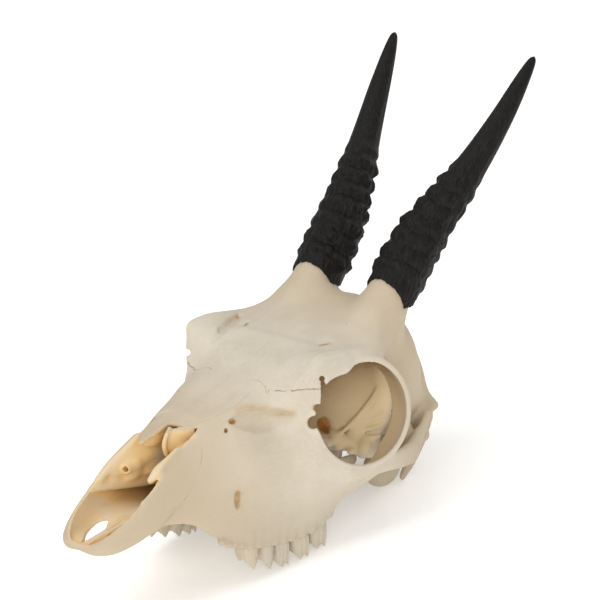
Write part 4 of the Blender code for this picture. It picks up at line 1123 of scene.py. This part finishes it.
def wrapped(grid, position, weld):
    """The grid with its points at their positions, its double points welded and its faces smooth."""
    moved = grid.node("GeometryNodeSetPosition", None, {"Geometry": grid, "Position": position})
    welded = grid.node("GeometryNodeMergeByDistance", None, {"Geometry": moved, "Distance": weld})
    return grid.node("GeometryNodeSetShadeSmooth", None, {"Geometry": welded})


def remember(shape, title, value):
    """Keep a number for each point of a tree's shape, for its material."""
    return shape.node("GeometryNodeStoreNamedAttribute", {"data_type": "FLOAT"},
                      {"Geometry": shape, "Name": title, "Value": value})


def close_tree(shape, given):
    """End a tree: real geometry, its material, and the output."""
    real = shape.node("GeometryNodeRealizeInstances", None, {"Geometry": shape})
    values = {"Geometry": real, "Material": given.out("Material")}
    finished = shape.node("GeometryNodeSetMaterial", None, values)
    shape.node("NodeGroupOutput", None, {"Geometry": finished})


print("tree helpers ready")

# %% The sheath's tree
INNER_SHARE = 0.22
TO_LEFT = (1.0, 0.0, 0.0)
TO_FRONT = (0.0, -1.0, 0.0)

sheath_tree, given = new_tree(
    "ringed horn sheath", ("Rows", "Sides"),
    ("Hollow", "Wall", "Edge Wall", "Ring Height", "Ring Gap", "Ringed Side", "Edge Wave", "Seed"))
grid, row, angle = flat_grid(given, given.out("Rows"), given.out("Sides"))
outside = row.number("GREATER_THAN", INNER_SHARE - 0.0001)
share_in = given.out("Hollow") * (1 - row / INNER_SHARE)
share_out = (row - INNER_SHARE) / (1 - INNER_SHARE)
share = share_in * (1 - outside) + share_out * outside
line = given.node("GeometryNodeMeshToCurve", None, {"Mesh": given.out("Geometry")})
thickness = given.node("GeometryNodeInputNamedAttribute", {"data_type": "FLOAT"}, {"Name": "thickness"})
sample = given.node("GeometryNodeSampleCurve", {"data_type": "FLOAT", "mode": "FACTOR"},
                    {"Curves": line, "Value": thickness, "Factor": share.number("MINIMUM", 1.0)})
centre, forward = sample.out("Position"), sample.out("Tangent")
outward = (TO_LEFT - forward * forward.dot(TO_LEFT)).vector("NORMALIZE")
backward = forward.vector("CROSS_PRODUCT", outward)
around = outward * angle.number("COSINE") + backward * angle.number("SINE")
print("sheath tree has", len(sheath_tree.nodes), "nodes so far")

# %% Rings, edge and walls of the sheath
RING_FIRST = 0.075
RING_COUNT = 8
LEAST_RING = 0.42
FLAKE_HEIGHT = 1.7
RIB_HEIGHT = 0.45
EDGE_REACH = 0.127
FRAY = 1.8
SHEATH_WELD = 0.03

seeded = around * 2.2 + given.joined(given.out("Seed"), share * 9.0)
phase = (share - RING_FIRST) / given.out("Ring Gap") + (seeded.noise(0.9, 1) - 0.5) * 0.7
rung = phase.number("FRACT") ** 1.35
ridge = (rung * (2 * math.pi)).crest() ** 0.8
rings_end = RING_FIRST + RING_COUNT * given.out("Ring Gap")
ringed = share.ease(RING_FIRST - 0.03, RING_FIRST) * (1 - (share / rings_end).ease(0.72, 1.0))
lumps = seeded.noise(1.7, 2).ease(0.25, 0.75)
to_middle = around.dot(TO_LEFT) * given.out("Ringed Side")
ringed_side = (0.50 + 0.50 * to_middle + 0.15 * around.dot(TO_FRONT)).number("MAXIMUM", LEAST_RING)
rise = ridge * ringed * given.out("Ring Height") * (0.35 + lumps) * ringed_side
flakes = (seeded * (2.5, 1.0, 2.5)).noise(1.6, 3, 0.65) - 0.5
rise = rise + flakes * FLAKE_HEIGHT * (1 - share.ease(0.28, 0.5))
ribs = (around * 9.0 + given.joined(z=share * 3.0)).noise(1.0, 2) - 0.5
rise = (rise + ribs * RIB_HEIGHT * (1 - share.ease(0.8, 1.0))) * outside
at_edge = (1 - share / EDGE_REACH).number("MAXIMUM", 0.0)
wall = (given.out("Wall") + (given.out("Edge Wall") - given.out("Wall")) * at_edge) * (1 - outside)
radius = (sample + rise - wall).number("MAXIMUM", 0.02)
radius = radius * (1 - (1 - outside) * (share / given.out("Hollow")).ease(0.9, 1.0))
wave = given.out("Edge Wave") * (2 * angle.number("SINE").number("ABSOLUTE") ** 0.75 - 1) * at_edge
frayed = (around.noise(4.0, 3) - 0.5) * FRAY * at_edge
shape = wrapped(grid, centre + around * radius + forward * (wave + frayed), SHEATH_WELD)
shape = remember(shape, "up_horn", share)
# Where the ring crests are, for the painted highlight that the material puts on them.
shape = remember(shape, "ring", ridge * ringed)
close_tree(shape, given)
print("sheath tree has", len(sheath_tree.nodes), "nodes")

# %% [markdown]
# ## The horn's finish
#
# Horn is made of fibres that run up its length. Close up, this horn is almost black: rough and flecked
# with ochre and reddish brown in its lower third, where the fibres are split and old skin clings, and
# smoother above. Noise squeezed along the horn's own direction gives the fibres. The two horns lean nearly
# the same way, so one stretched direction serves both.

# %% Horn material
NEAR_BLACK = (0.0032, 0.0027, 0.0024, 1)
HORN_BROWN = (0.024, 0.015, 0.010, 1)
HORN_GREY = (0.034, 0.030, 0.027, 1)
OCHRE = (0.32, 0.19, 0.085, 1)
RED_BROWN = (0.085, 0.032, 0.018, 1)
HORN_LEAN = math.radians(-24.0)
HORN_RELIEF = 0.00045

horn_look, start = new_material("fibrous horn")
place = start.node("ShaderNodeTexCoord").out("Object") * (1 / MM)
leaned = start.node("ShaderNodeVectorRotate", {"rotation_type": "X_AXIS"},
                    {"Vector": place, "Angle": -HORN_LEAN})
fibres = (leaned * (1.0, 1.0, 0.07)).noise(1.2, 4, 0.65)
threads = (leaned * (1.0, 1.0, 0.16)).noise(2.0, 2, 0.6)
flecks = (leaned * (1.0, 1.0, 0.35)).noise(0.75, 3, 0.6)
blots = place.noise(0.16, 3, 0.6)
low_on_horn = 1 - attribute(start, "up_horn").ease(0.06, 0.45)
colour = painted(NEAR_BLACK, [
    (HORN_BROWN, fibres.ease(0.50, 0.72) * 0.8),
    (HORN_GREY, threads.ease(0.58, 0.78) * 0.45),
    (RED_BROWN, blots.ease(0.48, 0.66) * low_on_horn * 0.6),
    # Painted highlight: greyer on the crests of the growth rings.
    (HORN_GREY, attribute(start, "ring").ease(0.5, 1.0) * 0.25),
    (OCHRE, flecks.ease(0.50, 0.62) * threads.ease(0.46, 0.58) * low_on_horn * 0.95)])
height = fibres * 0.7 + threads * 0.5 + (flecks * 2.4 + blots * 0.8) * low_on_horn
finish(start, colour, 0.40 + 0.25 * threads, height, HORN_RELIEF, Specular_IOR_Level=0.22)
print("horn nodes:", len(horn_look.node_tree.nodes))


# %% Both sheaths
def grow(tree, mesh, name, values):
    """Run a tree on a mesh with its inputs set, and keep the result as a plain mesh at its place."""
    item = linked(name, mesh)
    modifier = item.modifiers.new("grow", "NODES")
    modifier.node_group = tree
    for socket in tree.interface.items_tree:
        if socket.in_out == "INPUT" and socket.name in values:
            modifier[socket.identifier] = values[socket.name]
    settle(item)
    item.data.transform(stand_from_mm)
    return item


SHEATH_SIZES = {"Rows": 380, "Sides": 121, "Hollow": 0.61, "Wall": 2.4, "Edge Wall": 1.5, "Ring Height": 1.8,
                "Ring Gap": 0.0635, "Edge Wave": 2.6, "Material": horn_look}
RINGED_SIDES = {"left": -0.6, "right": 1.0}
SHEATH_SEEDS = {"left": 3.0, "right": 11.0}

sheaths = {}
for side, guide in guides.items():
    sizes = {**SHEATH_SIZES, "Ringed Side": RINGED_SIDES[side], "Seed": SHEATH_SEEDS[side]}
    sheaths[side] = grow(sheath_tree, guide, "horn_sheath_" + side + "_skin", sizes)
print("sheath faces:", {side: len(item.data.polygons) for side, item in sheaths.items()})

# %% [markdown]
# ## The cheek teeth
#
# Upper cheek teeth of an antelope are squarish blocks that narrow and lean back towards their tips. The
# outer wall rises in ribs and drops to one or two sharp points, the inner wall is lower and split in two
# lobes, and the chewing face between them is hollowed. One tree makes all ten from their own sizes: again
# a grid, wrapped round the tooth, whose first rows climb down the wall and whose last rows close over the
# chewing face.

# %% The tooth's tree
TOOTH_ROWS = 58
TOOTH_SIDES = 97
WALL_SHARE = 0.70
CORNER = 2.7

tooth_tree, given = new_tree(
    "cheek tooth", (),
    ("Front", "Back", "Outer", "Width", "Gum", "Tip", "Points", "Point Height", "Lean",
     "Root", "Rib", "Seed"))
grid, row, angle = flat_grid(given, TOOTH_ROWS, TOOTH_SIDES)
across, along = angle.number("COSINE"), angle.number("SINE")
corner = across.number("ABSOLUTE") ** CORNER + along.number("ABSOLUTE") ** CORNER
corner = 1 / (corner ** (1 / CORNER))
down = (row / WALL_SHARE).number("MINIMUM", 1.0)
over = ((row - WALL_SHARE) / (1 - WALL_SHARE)).number("MAXIMUM", 0.0)
place_along = 0.5 + 0.5 * along * corner
outer_side = (across * corner).ease(0.0, 0.9)
inner_side = (across * corner * -1.0).ease(0.0, 0.9)
cycle = place_along * given.out("Points") * (2 * math.pi)
edge_ribs = cycle.crest() ** 3.0
point_ribs = (0.5 - 0.5 * cycle.number("COSINE")) ** 1.5
rib = given.out("Rib") * outer_side * (edge_ribs + point_ribs * 0.7 - 0.35)
lobe = inner_side * edge_ribs * 0.9 * given.out("Points").number("GREATER_THAN", 1.5)
early = (down * 1.5).number("MINIMUM", 1.0)
swell = 0.74 + 0.26 * (early * 1.57).number("SINE") - 0.10 * down ** 3.0
half_width = given.out("Width") * 0.5
half_length = (given.out("Back") - given.out("Front")) * 0.5
shrink = (1 - over) ** 0.8
narrowing = 0.80 + 0.20 * down.ease(0.2, 0.6) - 0.10 * down.ease(0.65, 1.0)
relief = (rib * across - lobe * across) * down.ease(0.15, 0.6)
out_x = (half_width * corner * across * swell + relief) * shrink
out_y = half_length * corner * along * narrowing * shrink
print("tooth tree has", len(tooth_tree.nodes), "nodes so far")

# %% Points, lobes and the chewing face
BASIN_DEPTH = 3.4
INNER_WALL_DROP = 1.5
TOOTH_WELD = 0.01

from_point = ((place_along * given.out("Points")).number("FRACT") * 2 - 1).number("ABSOLUTE") ** 1.2
edge_height = given.out("Tip") + from_point * given.out("Point Height")
edge_height = edge_height + (0.5 - 0.5 * across * corner) * INNER_WALL_DROP
root_top = given.out("Gum") + given.out("Root")
wall_height = root_top + (edge_height - root_top) * down
basin = given.out("Tip") + BASIN_DEPTH
crescents = ((out_x * 1.6).number("COSINE") * 0.5) * over.ease(0.2, 0.7)
chew_height = edge_height + (basin - edge_height) * over.ease(0.0, 0.75) - crescents
is_top = row.number("GREATER_THAN", WALL_SHARE)
height = wall_height * (1 - is_top) + chew_height * is_top
seeded = given.joined(out_x + given.out("Seed") * 7.0, out_y, height)
jitter = (seeded.noise(0.55, 2) - 0.5) * 0.5
middle = (given.out("Front") + given.out("Back")) * 0.5
position = given.joined(given.out("Outer") - half_width + out_x * (1 + jitter * 0.15),
                        middle + out_y * (1 + jitter * 0.1) + given.out("Lean") * down ** 2.0,
                        height + jitter * 0.7)
shape = wrapped(grid, position, TOOTH_WELD)
shape = remember(shape, "below_gum", given.out("Gum") - height)
close_tree(shape, given)
print("tooth tree has", len(tooth_tree.nodes), "nodes")

# %% [markdown]
# ## The teeth's finish
#
# Enamel is glossier than bone. It is creamy at the gum, where yellow and brown stain collects, and turns
# greyer and glassier to the worn points. The stain follows the depth below the gum, which the tree keeps
# for each point, and fine vertical lines break it.

# %% Tooth material
ENAMEL_CREAM = (0.60, 0.50, 0.35, 1)
ENAMEL_GREY = (0.50, 0.46, 0.38, 1)
GUM_STAIN = (0.36, 0.20, 0.08, 1)
ENAMEL_RELIEF = 0.00012

tooth_look, start = new_material("tooth enamel")
place = start.node("ShaderNodeTexCoord").out("Object") * (1 / MM)
below_gum = attribute(start, "below_gum")
lines = (place * (1.0, 1.0, 0.15)).noise(1.6, 3, 0.6)
clouds = place.noise(0.5, 3, 0.6)
colour = painted(ENAMEL_CREAM, [
    (ENAMEL_GREY, below_gum.ease(3.0, 8.5) * 0.85),
    (GUM_STAIN, (1 - below_gum.ease(1.0, 3.6)) * clouds.ease(0.36, 0.60) * 0.85),
    (HONEY, lines.ease(0.48, 0.66) * (1 - below_gum.ease(2.5, 8.0)) * 0.6),
    (GUM_STAIN, lines.ease(0.60, 0.72) * 0.35)])
height = lines + clouds * 0.5
finish(start, colour, 0.28 + 0.22 * lines, height, ENAMEL_RELIEF, Specular_IOR_Level=0.45)
print("tooth nodes:", len(tooth_look.node_tree.nodes))

# %% All ten teeth
TOOTH_INPUTS = ("Front", "Back", "Outer", "Width", "Gum", "Tip", "Points", "Point Height", "Lean")
TEETH = {
    "p3": (56.6, 64.4, 24.0, 7.0, 4.4, -4.5, 1.0, 3.4, 0.5),
    "p4": (64.6, 70.8, 24.9, 7.6, 3.9, -5.9, 1.0, 2.9, 0.6),
    "m1": (71.0, 78.2, 25.7, 8.4, 3.8, -6.2, 2.0, 1.7, 0.6),
    "m2": (78.6, 87.4, 26.6, 8.8, 4.2, -5.0, 2.0, 2.0, 0.9),
    "m3": (87.8, 96.8, 26.4, 8.4, 6.2, -3.3, 2.0, 1.9, 0.3),
}
SHARED_SIZES = {"Root": 4.6, "Rib": 0.75, "Material": tooth_look}
SIDE_SEEDS = {"left": 0.0, "right": 9.0}

mirror = Matrix.Scale(-1, 4, (1, 0, 0))
teeth = {}
for number, (label, sizes) in enumerate(TEETH.items()):
    for side, side_seed in SIDE_SEEDS.items():
        node = "tooth_" + label + "_" + side
        values = {**dict(zip(TOOTH_INPUTS, sizes)), **SHARED_SIZES, "Seed": number + side_seed}
        teeth[node] = grow(tooth_tree, bpy.data.meshes.new("tooth blank"), node + "_crown", values)
        if side == "right":
            teeth[node].data.transform(stand @ mirror @ stand.inverted())
            teeth[node].data.flip_normals()
print("faces of one tooth:", len(teeth["tooth_m2_left"].data.polygons))

# %% [markdown]
# ## The floor
#
# A plain white sheet under the skull catches a soft shadow, which shows that the skull stands on its
# teeth and on the points beside its ear bulbs. A little light of its own keeps the sheet white, as an
# overexposed studio floor is.

# %% Floor
FLOOR_WHITE = (0.93, 0.925, 0.915, 1)
FLOOR_GLOW = 0.30
FLOOR_HALF = 3.0
PAPER_RELIEF = 0.00005

floor_mesh = bpy.data.meshes.new("floor")
corners = [(x * FLOOR_HALF, y * FLOOR_HALF, 0) for x, y in ((-1, -1), (1, -1), (1, 1), (-1, 1))]
floor_mesh.from_pydata(corners, [], [(0, 1, 2, 3)])
floor = linked("floor", floor_mesh)
floor_look, start = new_material("white floor")
paper = start.node("ShaderNodeTexCoord").out("Object").noise(60.0, 2)
finish(start, FLOOR_WHITE, 0.85 + 0.1 * paper, paper, PAPER_RELIEF, Specular_IOR_Level=0.2,
       Emission_Color=(1, 1, 1, 1), Emission_Strength=FLOOR_GLOW)
floor_mesh.materials.append(floor_look)
print("floor", 2 * FLOOR_HALF, "m wide")

# %% [markdown]
# ## Handing the pieces over
#
# Each new piece stands for the solid at its place: it replaces that node in the picture, while the node
# stays for collision. All pieces ride on the one body.

# %% Pieces and bodies
dressed = {"skull": (skull, "bone"), "horn_sheath_left": (sheaths["left"], "horn"),
           "horn_sheath_right": (sheaths["right"], "horn")}
dressed.update({node: (piece, "tooth") for node, piece in teeth.items()})
for node, (piece, slot) in dressed.items():
    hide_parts(node)
    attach(piece, "root")
    piece.data.calc_loop_triangles()
print({node: len(piece.data.loop_triangles) for node, (piece, _) in dressed.items()})
